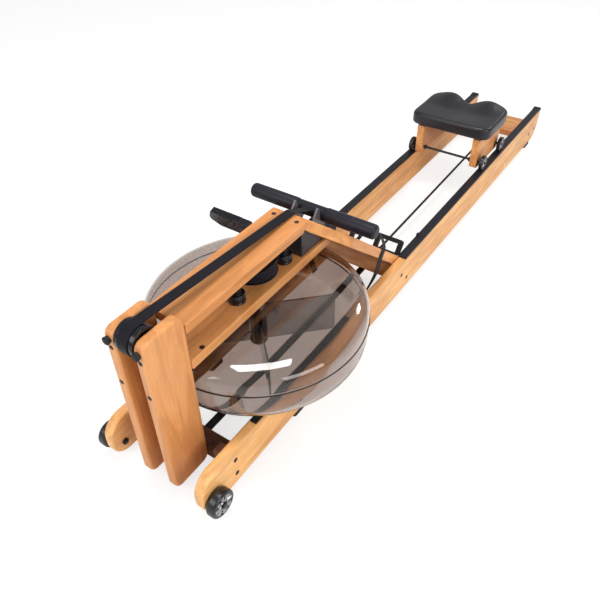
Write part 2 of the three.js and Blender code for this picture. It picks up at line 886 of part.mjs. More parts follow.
// Front pulley: a broad roller between the legs on an axle let into both
function makePulley() {
  const half = legInner - 2 * gap;
  const bore = pulleyAxleRadius + gap;
  const profile = [
    [bore, -half + pulleyRecessDepth],
    [pulleyRecessRadius, -half + pulleyRecessDepth],
    [pulleyRecessRadius, -half],
    [pulleyRadius, -half],
    [pulleyRadius, half],
    [pulleyRecessRadius, half],
    [pulleyRecessRadius, half - pulleyRecessDepth],
    [bore, half - pulleyRecessDepth],
    [bore, -half + pulleyRecessDepth],
  ];
  add('front_pulley', turnedX(profile).translate(0, pulleyY, pulleyZ), blackPlastic);
  const reach = legInner + pulleyAxleSeat - gap;
  const axle = pinX(pulleyAxleRadius, -reach, reach, wheelSteps).translate(0, pulleyY, pulleyZ);
  add('pulley_axle', axle, blackSteel);
}

// Drum: a flanged reel on the paddle's shaft, and two bobbins that guide the cords between the decks
function makeDrum() {
  const bore = shaftRadius + gap;
  const top = drumBottom + drumHeight;
  const profile = [
    [bore, lowerDeckTop + gap],
    [drumHubRadius, lowerDeckTop + gap],
    [drumHubRadius, drumBottom],
    [drumFlangeRadius, drumBottom],
    [drumFlangeRadius, drumBottom + drumFlangeThickness],
    [drumRadius, drumBottom + drumFlangeThickness],
    [drumRadius, top - drumFlangeThickness],
    [drumFlangeRadius, top - drumFlangeThickness],
    [drumFlangeRadius, top],
    [drumHubRadius, top],
    [bore, top],
    [bore, lowerDeckTop + gap],
  ];
  add('drive_drum', turnedZ(profile).translate(0, tankY, 0), blackPlastic);

  const base = lowerDeckTop + gap;
  const neck = base + bobbinFlangeThickness;
  const cap = neck + bobbinNeckLength;
  const bobbin = [
    [0, base],
    [bobbinFlangeRadius, base],
    [bobbinFlangeRadius, neck],
    [bobbinNeckRadius, neck],
    [bobbinNeckRadius, cap],
    [bobbinCapRadius, cap],
    [bobbinCapRadius, cap + bobbinCapThickness],
    [bobbinPinRadius, cap + bobbinCapThickness],
    [bobbinPinRadius, topDeckBottom - gap],
    [0, topDeckBottom - gap],
  ];
  for (const { name, side, reach } of bobbinPlaces) {
    add(name, turnedZ(bobbin).translate(side, tankY + reach, 0), blackPlastic);
  }
}

// The handle's axis, resting over the footboard's face
const handleAxis = onBoard(handlePlace, handleFaceGap);

// Drive belt: round the drum, a quarter twist forward to the pulley, over it, along the top deck
// and over the footboard's upper edge to the handle
function makeBelt() {
  const stations = [];
  const place = (x, y, z, across) => stations.push({ point: new THREE.Vector3(x, y, z), across });
  const drumSteps = 3 * arcSteps;
  const leaving = -Math.asin(beltOnDrum / (tankY - pulleyY));
  for (let i = 0; i <= drumSteps; i += 1) {
    const angle = beltWrapAngle + (leaving - beltWrapAngle) * (i / drumSteps);
    const x = -beltOnDrum * Math.cos(angle);
    place(x, tankY + beltOnDrum * Math.sin(angle), beltMidHeight, zAxis);
  }
  const twistStart = stations.at(-1).point;
  const twistEnd = new THREE.Vector3(0, pulleyY, pulleyZ - beltOnPulley);
  const twistSteps = 2 * arcSteps;
  for (let i = 1; i < twistSteps; i += 1) {
    const t = i / twistSteps;
    const eased = THREE.MathUtils.smoothstep(t, 0, 1);
    const turn = (eased * Math.PI) / 2;
    const across = zAxis.clone().multiplyScalar(Math.cos(turn)).addScaledVector(xAxis, Math.sin(turn));
    const point = twistStart.clone().lerp(twistEnd, t);
    point.z = THREE.MathUtils.lerp(twistStart.z, twistEnd.z, eased);
    stations.push({ point, across });
  }
  const bend = new THREE.Vector2(boardOrigin.x, boardOrigin.y);
  const over = bend.y + beltBendRadius - pulleyZ - beltOnPulley;
  const fall = Math.atan2(-over, bend.x - pulleyY);
  const pulleySteps = 3 * arcSteps;
  for (let i = 0; i <= pulleySteps; i += 1) {
    const angle = -Math.PI / 2 - (Math.PI + fall) * (i / pulleySteps);
    const y = pulleyY + beltOnPulley * Math.cos(angle);
    place(0, y, pulleyZ + beltOnPulley * Math.sin(angle), xAxis);
  }
  const toHandle = handleAxis.clone().sub(bend);
  const steep = Math.atan2(-toHandle.y, toHandle.x);
  for (let i = 0; i <= arcSteps; i += 1) {
    const angle = Math.PI / 2 - fall - (steep - fall) * (i / arcSteps);
    place(0, bend.x + beltBendRadius * Math.cos(angle), bend.y + beltBendRadius * Math.sin(angle), xAxis);
  }
  const aim = toHandle.clone().normalize();
  const end = handleAxis.clone().addScaledVector(aim, -handleHubRadius - 2 * gap);
  const lift = new THREE.Vector2(-aim.y, aim.x).multiplyScalar(beltBendRadius);
  place(0, end.x + lift.x, end.y + lift.y, xAxis);
  add('drive_belt', strap(stations, beltWidth, beltThickness), blackWebbing);
}

// Handle: a core bar with a hub for the belt and a grip on each side
function makeHandle() {
  const half = handleLength / 2;
  const capInner = half - gripEndRadius;
  const hubEnd = handleHubLength / 2;
  const near = hubEnd + gap;
  const core = turnedX([
    [0, -capInner + gap],
    [gripCoreRadius, -capInner + gap],
    [gripCoreRadius, -hubEnd],
    [handleHubRadius, -hubEnd],
    [handleHubRadius, hubEnd],
    [gripCoreRadius, hubEnd],
    [gripCoreRadius, capInner - gap],
    [0, capInner - gap],
  ]);
  add('handle_bar', core.translate(0, handleAxis.x, handleAxis.y), blackPlastic);
  for (const [name, sign] of sides) {
    const profile = [
      [gripCoreRadius + gap, near],
      [gripRadius - gripEndRadius * gripEndFlatShare, near],
      [gripRadius, near + gripEndRadius * gripEndReachShare],
    ];
    for (let i = 0; i <= arcSteps; i += 1) {
      const angle = (i / arcSteps) * (Math.PI / 2);
      const radius = gripRadius - gripEndRadius * (1 - Math.cos(angle));
      profile.push([radius, half - gripEndRadius * (1 - Math.sin(angle))]);
    }
    profile.push([0, half], [0, capInner], [gripCoreRadius + gap, capInner], [gripCoreRadius + gap, near]);
    const turn = sign > 0 ? 0 : Math.PI;
    const grip = turnedX(profile).rotateZ(turn).translate(0, handleAxis.x, handleAxis.y);
    add(`handle_grip_${name}`, grip, blackRubber);
  }
}

// Handle rests: two saddles on the footboard, open towards the rower
function makeHandleRests() {
  const cup = handleHubRadius + gap;
  const front = handlePlace - handleRestFront;
  const rear = handlePlace + handleRestRear;
  const lip = handleFaceGap - cup * Math.sin(handleRestAngle);
  const corners = [
    [front, gap],
    [rear, gap],
    [rear, lip],
  ];
  const cupSteps = 2 * arcSteps;
  for (let i = 0; i <= cupSteps; i += 1) {
    const angle = -handleRestAngle - (Math.PI - 2 * handleRestAngle) * (i / cupSteps);
    corners.push([handlePlace + cup * Math.cos(angle), handleFaceGap + cup * Math.sin(angle)]);
  }
  corners.push([front + handleRestProngDepth, handleRestProngHeight], [front, handleRestProngHeight]);
  for (const [name, sign] of sides) {
    const from = sign * handleRestOffset - handleRestWidth / 2;
    add(`handle_rest_${name}`, onFootboard(corners, from, from + handleRestWidth), blackPlastic);
  }
}

// Monitor: a flat case with a screen, tilting on a pin of the arm at the top deck's left side
function makeMonitor() {
  const armRight = -deckWidth / 2 - gap;
  const armLeft = armRight - armLength;
  const right = armLeft - gap;
  const left = right - monitorWidth;
  const half = monitorHeight / 2;
  const rearFace = monitorThickness / 2;
  const hinge = { y: deckRearEdge - monitorSetback, z: topDeckBottom + monitorRise };
  const face = outline([
    [left, monitorChinRise - half, monitorSideRadius],
    [left + monitorChin, -half, monitorChinRadius],
    [right, -half, monitorCornerRadius],
    [right, half, monitorCornerRadius],
    [left + monitorSlant, half, monitorCornerRadius],
  ]);
  const screenMiddle = (left + right) / 2 + screenShift;
  const screenPlan = (grow) => rectangle(
    screenMiddle - screenWidth / 2 - grow,
    screenMiddle + screenWidth / 2 + grow,
    -screenHeight / 2 - grow,
    screenHeight / 2 + grow,
    screenRadius,
  );
  const upright = new THREE.Matrix4().makeRotationX(Math.PI / 2);
  const place = (geometry) => {
    geometry.applyMatrix4(upright).rotateX(monitorTilt);
    return geometry.translate(0, hinge.y, hinge.z);
  };
  const body = pushed(face, monitorThickness).translate(0, 0, -rearFace);
  const recess = pushed(screenPlan(gap), screenDepth + overrun).translate(0, 0, -rearFace - overrun);
  const socket = pinX(armPinRadius + gap, right - armPinLength - gap, right + overrun);
  add('monitor_case', place(carve(body, [recess, socket])), blackPlastic);
  const glass = pushed(screenPlan(0), screenDepth - gap).translate(0, 0, -rearFace);
  add('monitor_screen', place(glass), screenGrey);

  const section = rectangle(armLeft, armRight, -half, half, monitorCornerRadius);
  const arm = pushed(section, monitorThickness).translate(0, 0, -rearFace);
  const pin = pinX(armPinRadius, right - armPinLength, armLeft + overrun);
  add('monitor_arm', place(join([arm, pin])), blackPlastic);
}

// One quarter of the squashed ball's section, from the seam to the axis or back
function bulge(radius, height, power, from, to, steps) {
  const points = [];
  for (let i = 0; i <= steps; i += 1) {
    const angle = from + ((to - from) * i) / steps;
    const r = radius * Math.cos(angle) ** (2 / power);
    const h = height * Math.sin(angle) ** (2 / power);
    points.push([r, h]);
  }
  return points;
}

// The tank's outer body as one solid, grown by a clearance, for cutting its seats
function tankBody(grow) {
  const radius = tankRadius + grow;
  const lower = bulge(radius, tankDepth + grow, tankDepthShare, Math.PI / 2, 0, domeSteps);
  const upper = bulge(radius, tankDome + grow, tankDomeShare, 0, Math.PI / 2, domeSteps);
  const profile = [
    ...lower.map(([r, h]) => [r, seamZ - h]),
    ...upper.slice(1).map(([r, h]) => [r, seamZ + h]),
  ];
  profile[0][0] = 0;
  profile[profile.length - 1][0] = 0;
  return turnedZ(profile, tankSteps).translate(0, tankY, 0);
}

// Tank: lower and upper shells of smoky clear plastic, with a seal at the seam
function makeTank() {
  const halfSeal = sealHeight / 2;
  const lowerEdge = seamZ - halfSeal - gap;
  const upperEdge = seamZ + halfSeal + gap;
  const inner = tankRadius - tankWall;
  const depth = tankDepth - halfSeal - gap;
  const bowl = [
    ...bulge(tankRadius, depth, tankDepthShare, Math.PI / 2, 0, domeSteps),
    ...bulge(inner, depth - tankWall, tankDepthShare, 0, Math.PI / 2, liningSteps),
  ];
  const lower = bowl.map(([r, h]) => [r, lowerEdge - h]);
  lower[0][0] = 0;
  lower[lower.length - 1][0] = 0;
  add('tank_lower_shell', turnedZ(lower, tankSteps).translate(0, tankY, 0), smokyTank);

  const dome = tankDome - halfSeal - gap;
  const hole = shaftRadius + shaftClearance;
  const collarTop = lowerDeckBottom - gap;
  const outerArc = bulge(tankRadius, dome, tankDomeShare, 0, Math.PI / 2, domeSteps);
  const innerArc = bulge(inner, dome - tankWall, tankDomeShare, Math.PI / 2, 0, liningSteps);
  const upper = [
    [inner, upperEdge],
    ...outerArc.filter(([r]) => r > tankCollarRadius).map(([r, h]) => [r, upperEdge + h]),
    [tankCollarRadius, upperEdge + dome],
    [tankCollarRadius, collarTop],
    [hole, collarTop],
    [hole, upperEdge + dome - tankWall],
    ...innerArc.filter(([r]) => r > tankCollarRadius).map(([r, h]) => [r, upperEdge + h]),
  ];
  add('tank_upper_shell', turnedZ(upper, tankSteps).translate(0, tankY, 0), smokyTank);

  const ring = [
    [inner, seamZ - halfSeal],
    [tankRadius + sealLip, seamZ - halfSeal],
    [tankRadius + sealLip, seamZ + halfSeal],
    [inner, seamZ + halfSeal],
    [inner, seamZ - halfSeal],
  ];
  add('tank_seal', turnedZ(ring, tankSteps).translate(0, tankY, 0), blackRubber);
}

// Paddle: flat blades on a hub, on the shaft that stands in the tank and drives through the deck
function makePaddle() {
  const floor = tankBottom + tankWall + 2 * gap;
  const bottom = floor + bladeFloorClearance;
  const shaft = pinZ(shaftRadius, floor, topDeckBottom - gap, wheelSteps);
  const hub = pinZ(paddleHubRadius, bottom, bottom + bladeHeight, wheelSteps);
  const blades = [];
  for (let i = 0; i < bladeCount; i += 1) {
    const plate = alongZ(
      rectangle(0, bladeLength, -bladeThickness / 2, bladeThickness / 2),
      bottom,
      bottom + bladeHeight,
    );
    blades.push(plate.rotateZ((2 * Math.PI * (i + 0.5)) / bladeCount));
  }
  add('paddle', join([shaft, hub, ...blades]).translate(0, tankY, 0), greyPlastic);
}

// Recoil cord: stretched along the middle from the footboard's block to the rear cross board
function makeCord() {
  const face = onBoard(footboardLength + footBlockLength / 2 + gap, 0);
  const start = face.x + ((cordFrontHeight + cordRadius - face.y) * square.x) / square.y + gap;
  const end = rearBoardMiddle - rearBoardLength / 2 - gap;
  const route = new THREE.LineCurve3(
    new THREE.Vector3(0, start, cordFrontHeight),
    new THREE.Vector3(0, end, cordRearHeight),
  );
  const section = new THREE.Shape();
  section.absarc(0, 0, cordRadius, 0, 2 * Math.PI);
  const cord = new THREE.ExtrudeGeometry(section, { extrudePath: route, steps: arcSteps, curveSegments: cordSteps });
  add('bungee_cord', cord, blackWebbing);
}

// Seat pad: a rounded cushion with a dished top, two humps at the rear and a notch between them
function makeSeatPad() {
  const half = { x: seatWidth / 2, y: seatLength / 2 };
  const steps = seatSteps;
  const [soft, wide] = seatRimShares.map((share) => seatRimRadius * share);
  const rings = [
    { inset: half.y * seatUndersideShare, rise: 0, top: false },
    { inset: seatRimRadius, rise: 0, top: false },
    { inset: soft, rise: soft, top: false },
    { inset: 0, rise: seatRimRadius, top: false },
    { inset: 0, rise: -seatRimRadius, top: true },
    { inset: soft, rise: -soft, top: true },
    { inset: seatRimRadius, rise: 0, top: true },
    { inset: wide, rise: 0, top: true },
    ...seatTopShares.map((share) => ({ inset: half.y * share, rise: 0, top: true })),
  ];
  const boardBottom = wheelZ - wheelRadius - trackThickness + seatBoardClearance;
  const bottom = boardBottom + seatBoardHeight + seatPlateThickness;
  // Rounded outline, drawn in at the middle of the rear edge, at a distance inside the pad's edge
  const edge = (turn, inset) => {
    const reach = half.x - inset;
    const deep = half.y - inset;
    const corner = Math.max(seatCornerRadius - inset, seatRimRadius);
    const power = 2 + (2 * Math.min(reach, deep)) / corner;
    const [c, s] = [Math.cos(turn), Math.sin(turn)];
    const stretch = (Math.abs(c) ** power + Math.abs(s) ** power) ** (-1 / power);
    const x = reach * c * stretch;
    const notch = seatNotchDepth * Math.exp(-((x / (seatWidth * seatNotchShare)) ** 2));
    const y = deep * s * stretch;
    return [x, s > 0 ? y - notch * (y / deep) : y];
  };
  const crown = (x, y) => {
    const [low, high] = seatRiseShares.map((share) => half.y * share);
    const back = THREE.MathUtils.smoothstep(y, low, high);
    const side = (Math.abs(x) - seatWidth * seatHumpPlaceShare) / (seatWidth * seatHumpWidthShare);
    const dish = Math.hypot(x / (seatWidth * seatDishWidthShare), y / (seatLength * seatDishLengthShare));
    return seatHump * (back * Math.exp(-(side ** 2)) - seatDishShare * Math.exp(-(dish ** 2)));
  };
  const positions = [];
  for (const ring of rings) {
    for (let i = 0; i < steps; i += 1) {
      const [x, y] = edge((2 * Math.PI * i) / steps, ring.inset);
      const z = ring.top ? bottom + seatPadThickness + crown(x, y) + ring.rise : bottom + ring.rise;
      positions.push(x, seatPlace + y, z);
    }
  }
  const faces = [];
  for (let ring = 0; ring + 1 < rings.length; ring += 1) {
    for (let i = 0; i < steps; i += 1) {
      const [a, b] = [ring * steps + i, ring * steps + ((i + 1) % steps)];
      faces.push(a, b, b + steps, a, b + steps, a + steps);
    }
  }
  const lowest = positions.length / 3;
  positions.push(0, seatPlace, bottom);
  positions.push(0, seatPlace, bottom + seatPadThickness + crown(0, 0));
  for (let i = 0; i < steps; i += 1) {
    const next = (i + 1) % steps;
    const lastRing = (rings.length - 1) * steps;
    faces.push(lowest, next, i, lowest + 1, lastRing + i, lastRing + next);
  }
  const geometry = new THREE.BufferGeometry();
  geometry.setAttribute('position', new THREE.Float32BufferAttribute(positions, 3));
  geometry.setIndex(faces);
  add('seat_pad', facingOut(geometry), blackVinyl);
}

// Seat carriage: two upright boards under a steel plate, with two axles and four wheels
function makeSeatCarriage() {
  const boardBottom = wheelZ - wheelRadius - trackThickness + seatBoardClearance;
  const boardTop = boardBottom + seatBoardHeight - gap;
  const front = seatPlace - seatBoardLength / 2 + seatBoardRearShift;
  const rear = front + seatBoardLength;
  const outer = railInner - seatBoardSideGap;
  const axles = [['front', -1], ['rear', 1]].map(([name, end]) => {
    return [name, (front + rear) / 2 + (end * wheelBase) / 2];
  });
  for (const [name, sign] of sides) {
    const side = outline([
      [front, boardBottom, seatBoardRadius],
      [rear, boardBottom, seatBoardRadius],
      [rear, boardTop],
      [front, boardTop],
    ]);
    const board = alongX(side, ...span(sign, outer - seatBoardThickness, outer));
    const [from, to] = span(sign, outer - seatBoardThickness - overrun, outer + overrun);
    const holes = axles.map(([, y]) => pinX(axleRadius + gap, from, to).translate(0, y, wheelZ));
    add(`seat_board_${name}`, carve(board, holes), honeyWood);
  }
  const plateFront = front + seatPlateInset;
  const plate = rectangle(-outer, outer, plateFront, plateFront + seatPlateLength);
  add('seat_plate', alongZ(plate, boardTop + gap, boardTop + seatPlateThickness), blackSteel);
  const half = wheelWidth / 2;
  const bore = axleRadius + gap;
  const profile = [
    [bore, -half + wheelHubRecess],
    [wheelHubRadius, -half + wheelHubRecess],
    [wheelHubRadius, -half],
    [wheelRadius, -half],
    [wheelRadius, half],
    [wheelHubRadius, half],
    [wheelHubRadius, half - wheelHubRecess],
    [bore, half - wheelHubRecess],
    [bore, -half + wheelHubRecess],
  ];
  for (const [end, y] of axles) {
    add(`seat_axle_${end}`, pinX(axleRadius, -axleHalf, axleHalf).translate(0, y, wheelZ), blackSteel);
    for (const [name, sign] of sides) {
      const wheel = turnedX(profile).translate(sign * railMiddle, y, wheelZ);
      add(`seat_wheel_${end}_${name}`, wheel, blackRubber);
    }
  }
}

makeRails();
makeFeet();
makeTracks();
makePads();
makeCastors();
makeFrontBoard();
makeRearBoard();
makeSpine();
makeLegs();
makeDecks();
makeFootboard();
makeHeelRests();
makeFootStraps();
makePulley();
makeDrum();
makeBelt();
makeHandle();
makeHandleRests();
makeMonitor();
makeTank();
makePaddle();
makeCord();
makeSeatPad();
makeSeatCarriage();

export default machine;
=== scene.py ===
import math

import bmesh
import bpy
import numpy as np
from mathutils import Matrix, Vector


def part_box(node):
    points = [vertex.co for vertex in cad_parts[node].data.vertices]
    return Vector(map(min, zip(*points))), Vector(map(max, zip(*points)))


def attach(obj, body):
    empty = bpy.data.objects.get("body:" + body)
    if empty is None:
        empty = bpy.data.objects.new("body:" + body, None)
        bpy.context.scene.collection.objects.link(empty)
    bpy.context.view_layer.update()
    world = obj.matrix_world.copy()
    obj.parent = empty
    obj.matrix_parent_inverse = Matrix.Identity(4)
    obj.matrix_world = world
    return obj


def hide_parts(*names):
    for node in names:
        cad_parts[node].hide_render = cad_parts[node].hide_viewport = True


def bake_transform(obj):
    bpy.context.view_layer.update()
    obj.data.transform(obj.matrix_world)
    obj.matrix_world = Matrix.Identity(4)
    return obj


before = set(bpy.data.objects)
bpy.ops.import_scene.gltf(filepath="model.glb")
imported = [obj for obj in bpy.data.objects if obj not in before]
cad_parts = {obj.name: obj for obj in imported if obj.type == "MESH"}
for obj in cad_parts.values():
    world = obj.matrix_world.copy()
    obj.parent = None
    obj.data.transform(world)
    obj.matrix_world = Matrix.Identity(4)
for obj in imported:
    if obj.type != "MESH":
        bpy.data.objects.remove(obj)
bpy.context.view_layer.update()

# Camera: it stands to the front right of the machine and above it, and looks down along it towards
# the seat. Its place, its turns and its lens come from the photograph's straight edges.


def standing(x, y, z, place):
    """The matrix of a thing that stands at a place with its own axes along x, y and z."""
    return Matrix([[*row, at] for row, at in zip(np.c_[x, y, z], place)] + [[0, 0, 0, 1]])


eye = np.array([0.7128, -1.4951, 1.2276])
yaw, pitch, roll = 0.61143, 0.71878, -0.02051
level = np.array([math.cos(yaw), math.sin(yaw), 0.0])
ahead = np.array([-level[1] * math.cos(pitch), level[0] * math.cos(pitch), -math.sin(pitch)])
upward = np.cross(level, ahead)
right = math.cos(roll) * level + math.sin(roll) * upward
top = math.cos(roll) * upward - math.sin(roll) * level
camera = bpy.data.objects.new("camera", bpy.data.cameras.new("camera"))
camera.data.lens = 37.39
camera.data.sensor_width = 36.0
camera.data.clip_end = 60.0
camera.matrix_world = standing(right, top, -ahead, eye)
bpy.context.scene.collection.objects.link(camera)
bpy.context.scene.camera = camera
bpy.context.scene.view_settings.view_transform = "Standard"

# Studio: a pale floor that keeps a soft shadow, a surround that lights the machine at half strength
# and is plain white to the camera and through the tank, and soft lamps above, right, front and rear.


def add_node(material, kind, *fed, **values):
    """A shader node. fed goes to its inputs in order, and each value to the input or the setting of
    that name: another node's output is linked, anything else is set, and None is passed over."""
    made = material.node_tree.nodes.new(kind)
    for key, value in [*values.items(), *enumerate(fed)]:
        place = key.replace("_", " ") if key in values else key
        if key in values and place not in made.inputs:
            setattr(made, key, value)
        elif isinstance(value, bpy.types.NodeSocket):
            material.node_tree.links.new(value, made.inputs[place])
        elif value is not None:
            made.inputs[place].default_value = value
    return made


def calculated(material, operation, first, second):
    """Two numbers or patterns worked into one, such as their product."""
    return add_node(material, "ShaderNodeMath", first, second, operation=operation).outputs[0]


def seen_directly(material):
    """1 where the ray comes straight from the camera or through clear plastic, otherwise 0."""
    rays = add_node(material, "ShaderNodeLightPath").outputs
    return calculated(material, "MAXIMUM", rays["Is Camera Ray"], rays["Is Transmission Ray"])


def mixed(material, share, first, second):
    """Two shaders mixed: the second one's share is 0 to 1."""
    return add_node(material, "ShaderNodeMixShader", share, first.outputs[0], second.outputs[0])


surround = bpy.data.worlds.new("surround")
bpy.context.scene.world = surround
surround.use_nodes = True
surround.node_tree.nodes.clear()
lighting = add_node(surround, "ShaderNodeBackground", Color=(1.0, 0.99, 0.975, 1), Strength=0.5)
showing = add_node(surround, "ShaderNodeBackground", Color=(1, 1, 1, 1), Strength=1.0)
choice = mixed(surround, seen_directly(surround), lighting, showing)
add_node(surround, "ShaderNodeOutputWorld", choice.outputs[0])

floor_reach, glow_share = 9, 0.62
floor_mesh = bpy.data.meshes.new("floor")
floor_corners = [(x * floor_reach, y * floor_reach, 0) for x, y in ((-1, -1), (1, -1), (1, 1), (-1, 1))]
floor_mesh.from_pydata(floor_corners, [], [(0, 1, 2, 3)])
floor = bpy.data.objects.new("floor", floor_mesh)
bpy.context.scene.collection.objects.link(floor)
floor_paint = bpy.data.materials.new("floor_paint")
floor_paint.use_nodes = True
floor_paint.node_tree.nodes.clear()
matt = add_node(floor_paint, "ShaderNodeBsdfDiffuse", Color=(0.9, 0.9, 0.9, 1))
glow = add_node(floor_paint, "ShaderNodeEmission", Color=(1, 1, 1, 1), Strength=1.19)
share = calculated(floor_paint, "MULTIPLY", seen_directly(floor_paint), glow_share)
floor_mix = mixed(floor_paint, share, matt, glow)
add_node(floor_paint, "ShaderNodeOutputMaterial", floor_mix.outputs[0])
floor_mesh.materials.append(floor_paint)

# Each lamp: its name, its place, what it aims at, the line that its length lies along, its length and
# width, and its power in watts.
machine_middle = (0.0, -0.3, 0.3)
lamps = [
    ("top_lamp", (-0.21, -0.40, 2.95), (-0.21, -0.40, 0.0), (0.735, 0.75, 0.0), (1.08, 0.70), 33),
    ("right_lamp", (3.1, -1.3, 1.9), machine_middle, (0.4, 1.0, 0.0), (2.2, 1.6), 60),
    ("front_lamp", (-1.1, -3.3, 2.1), machine_middle, (1.0, -0.3, 0.0), (2.0, 1.6), 36),
    ("rear_lamp", (0.55, 2.43, 2.25), machine_middle, (1.0, 0.0, 0.0), (0.34, 0.34), 15),
]


def unit(vectors):
    """Vectors divided by their lengths."""
    return vectors / np.linalg.norm(vectors, axis=-1, keepdims=True)


for name, place, aimed_at, along, (length, width), power in lamps:
    lamp = bpy.data.lights.new(name, "AREA")
    lamp.shape = "RECTANGLE"
    lamp.size, lamp.size_y = length, width
    lamp.energy = power
    stand = bpy.data.objects.new(name, lamp)
    back = unit(np.array(place) - np.array(aimed_at))
    side = unit(np.array(along) - back * (np.array(along) @ back))
    stand.matrix_world = standing(side, np.cross(back, side), back, place)
    bpy.context.scene.collection.objects.link(stand)

# Recoil cord: an elastic cord in a braided sleeve that pulls the handle back. It is stretched
# along the middle, from the footboard's block to the rear cross board.


def grid(rows, columns, capped=False):
    """Four-sided faces of a grid of rows by columns points, closed round each row, and an end face
    on the first and last row if it is capped."""
    a = np.arange(rows - 1)[:, None] * columns + np.arange(columns)[None, :]
    b = np.arange(rows - 1)[:, None] * columns + (np.arange(columns)[None, :] + 1) % columns
    last = (rows - 1) * columns
    caps = [list(range(columns)), list(range(last, last + columns))] if capped else []
    return np.stack([a, b, b + columns, a + columns], -1).reshape(-1, 4).tolist() + caps


def make(name, shape, body, material, stands_for=(), sharp=38, even=False):
    """A piece from (points, faces, runs): corners at one place merged, faces turned out, smooth up
    to a sharp angle, with the runs as its UV if it has any."""
    points, faces, runs = shape
    mesh = bpy.data.meshes.new(name)
    mesh.from_pydata(points.tolist(), [], faces)
    if runs is not None:
        corners = np.empty(len(mesh.loops), dtype=np.int64)
        mesh.loops.foreach_get("vertex_index", corners)
        mesh.uv_layers.new(name="run").data.foreach_set("uv", runs[corners].ravel())
    skin = bmesh.new()
    skin.from_mesh(mesh)
    bmesh.ops.remove_doubles(skin, verts=skin.verts, dist=2e-6)
    bmesh.ops.recalc_face_normals(skin, faces=skin.faces)
    skin.to_mesh(mesh)
    skin.free()
    mesh.polygons.foreach_set("use_smooth", np.ones(len(mesh.polygons), dtype=bool))
    mesh.set_sharp_from_angle(angle=math.radians(sharp))
    made = bpy.data.objects.new(name, mesh)
    bpy.context.scene.collection.objects.link(made)
    mesh.materials.append(material)
    if even:
        made.modifiers.new("even_light", "WEIGHTED_NORMAL").keep_sharp = True
    if body:
        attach(made, body)
    if stands_for:
        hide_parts(*stands_for)
    return made


def travelled(path):
    """The distance run along a path at each of its points."""
    return np.r_[0, np.cumsum(np.linalg.norm(np.diff(path, axis=0), axis=1))]


def tube(path, radius, steps=20):
    """A round section carried along a path: path + radius * (cos a * side + sin a * up)."""
    along = unit(np.gradient(path, axis=0))
    side = unit(np.cross(along, [1.0, 0.0, 0.0]))[:, None]
    up = np.cross(side, along[:, None])
    angle = np.linspace(0, 2 * np.pi, steps, endpoint=False)[None, :, None]
    ring = path[:, None] + radius * (np.cos(angle) * side + np.sin(angle) * up)
    runs = np.broadcast_arrays(travelled(path)[:, None], angle[..., 0] * radius)
    return ring.reshape(-1, 3), grid(len(path), steps, True), np.stack(runs, -1).reshape(-1, 2)


def bare_material(name, **values):
    """A material with one Principled shader, whose uniform values are set on its own sockets."""
    material = bpy.data.materials.new(name)
    material.use_nodes = True
    shader = material.node_tree.nodes["Principled BSDF"]
    for key, value in values.items():
        shader.inputs[key.replace("_", " ")].default_value = value
    return material, shader


def surfaced(material, shader, height, strength, depth, **patterns):
    """Joins patterns to a shader: height as relief of that depth, the others to their own inputs."""
    relief = add_node(material, "ShaderNodeBump", Strength=strength, Distance=depth, Height=height)
    for key, output in [("Normal", relief.outputs[0]), *patterns.items()]:
        material.node_tree.links.new(output, shader.inputs[key.replace("_", " ")])
    return material


def between(material, share, first, second):
    """A colour between two, by a share of 0 to 1."""
    ends = [None] * 5 + [first, second]
    return add_node(material, "ShaderNodeMix", share, *ends, data_type="RGBA").outputs[2]


def woven(name, dark, light, pitch, depth, roughness=0.85, sheen=0.12, shine=0.3):
    """Cloth of yarns: two crossed rows of ridges, askew to the piece's own run (u, v), each a sine
    wave of that pitch. Their product gives the tone and the relief."""
    ridge_at_scale_one, relief_strength = 0.31, 0.7
    material, shader = bare_material(name, Roughness=roughness, Sheen_Weight=sheen,
                                     Sheen_Roughness=0.5, Specular_IOR_Level=shine)
    run = add_node(material, "ShaderNodeUVMap", uv_map="run").outputs[0]
    askew = add_node(material, "ShaderNodeMapping", run, Rotation=(0, 0, math.radians(45)))
    ridges = {"Vector": askew.outputs[0], "Scale": ridge_at_scale_one / pitch, "Distortion": 0.4,
              "Detail": 1.0}
    rows = [add_node(material, "ShaderNodeTexWave", bands_direction=way, **ridges).outputs["Fac"]
            for way in "XY"]
    crossed = calculated(material, "MULTIPLY", *rows)
    tone = between(material, crossed, (*dark, 1), (*light, 1))
    return surfaced(material, shader, crossed, relief_strength, depth, Base_Color=tone)


cord_low, cord_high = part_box("bungee_cord")
cord_radius, cord_steps = 0.004, 40
cord_path = np.linspace([0, cord_low[1], cord_low[2] + cord_radius],
                        [0, cord_high[1], cord_high[2] - cord_radius], cord_steps)
cord_sleeve = woven("cord_sleeve", (0.010, 0.010, 0.012), (0.06, 0.06, 0.065), pitch=0.0016,
                    depth=0.0004)
cord = make("recoil_cord", tube(cord_path, cord_radius), "frame", cord_sleeve, ["bungee_cord"])

# Rails: two long planks of solid hardwood, sanded round along their edges and lacquered. They
# stand on edge and carry everything else.


def cad(name):
    """The low and the high corner of a CAD piece."""
    return (np.array(corner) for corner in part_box(name))


def rounded(corners, steps=9):
    """An outline: straight edges between (a, b, radius) corners, each corner an arc that touches
    both of its edges."""
    points = []
    for index, (a, b, radius) in enumerate(corners):
        here = np.array([a, b])
        into = unit(here - np.array(corners[index - 1][:2]))
        out = unit(np.array(corners[(index + 1) % len(corners)][:2]) - here)
        bend = math.atan2(into[0] * out[1] - into[1] * out[0], float(into @ out))
        if radius == 0:
            points.append(here[None])
            continue
        start = here - into * radius * math.tan(abs(bend) / 2)
        square = np.array([-into[1], into[0]]) * math.copysign(1, bend)
        turn = np.linspace(0, bend, steps)[:, None]
        points.append(start + radius * (square + into * np.sin(np.abs(turn)) - square * np.cos(turn)))
    return np.concatenate(points)


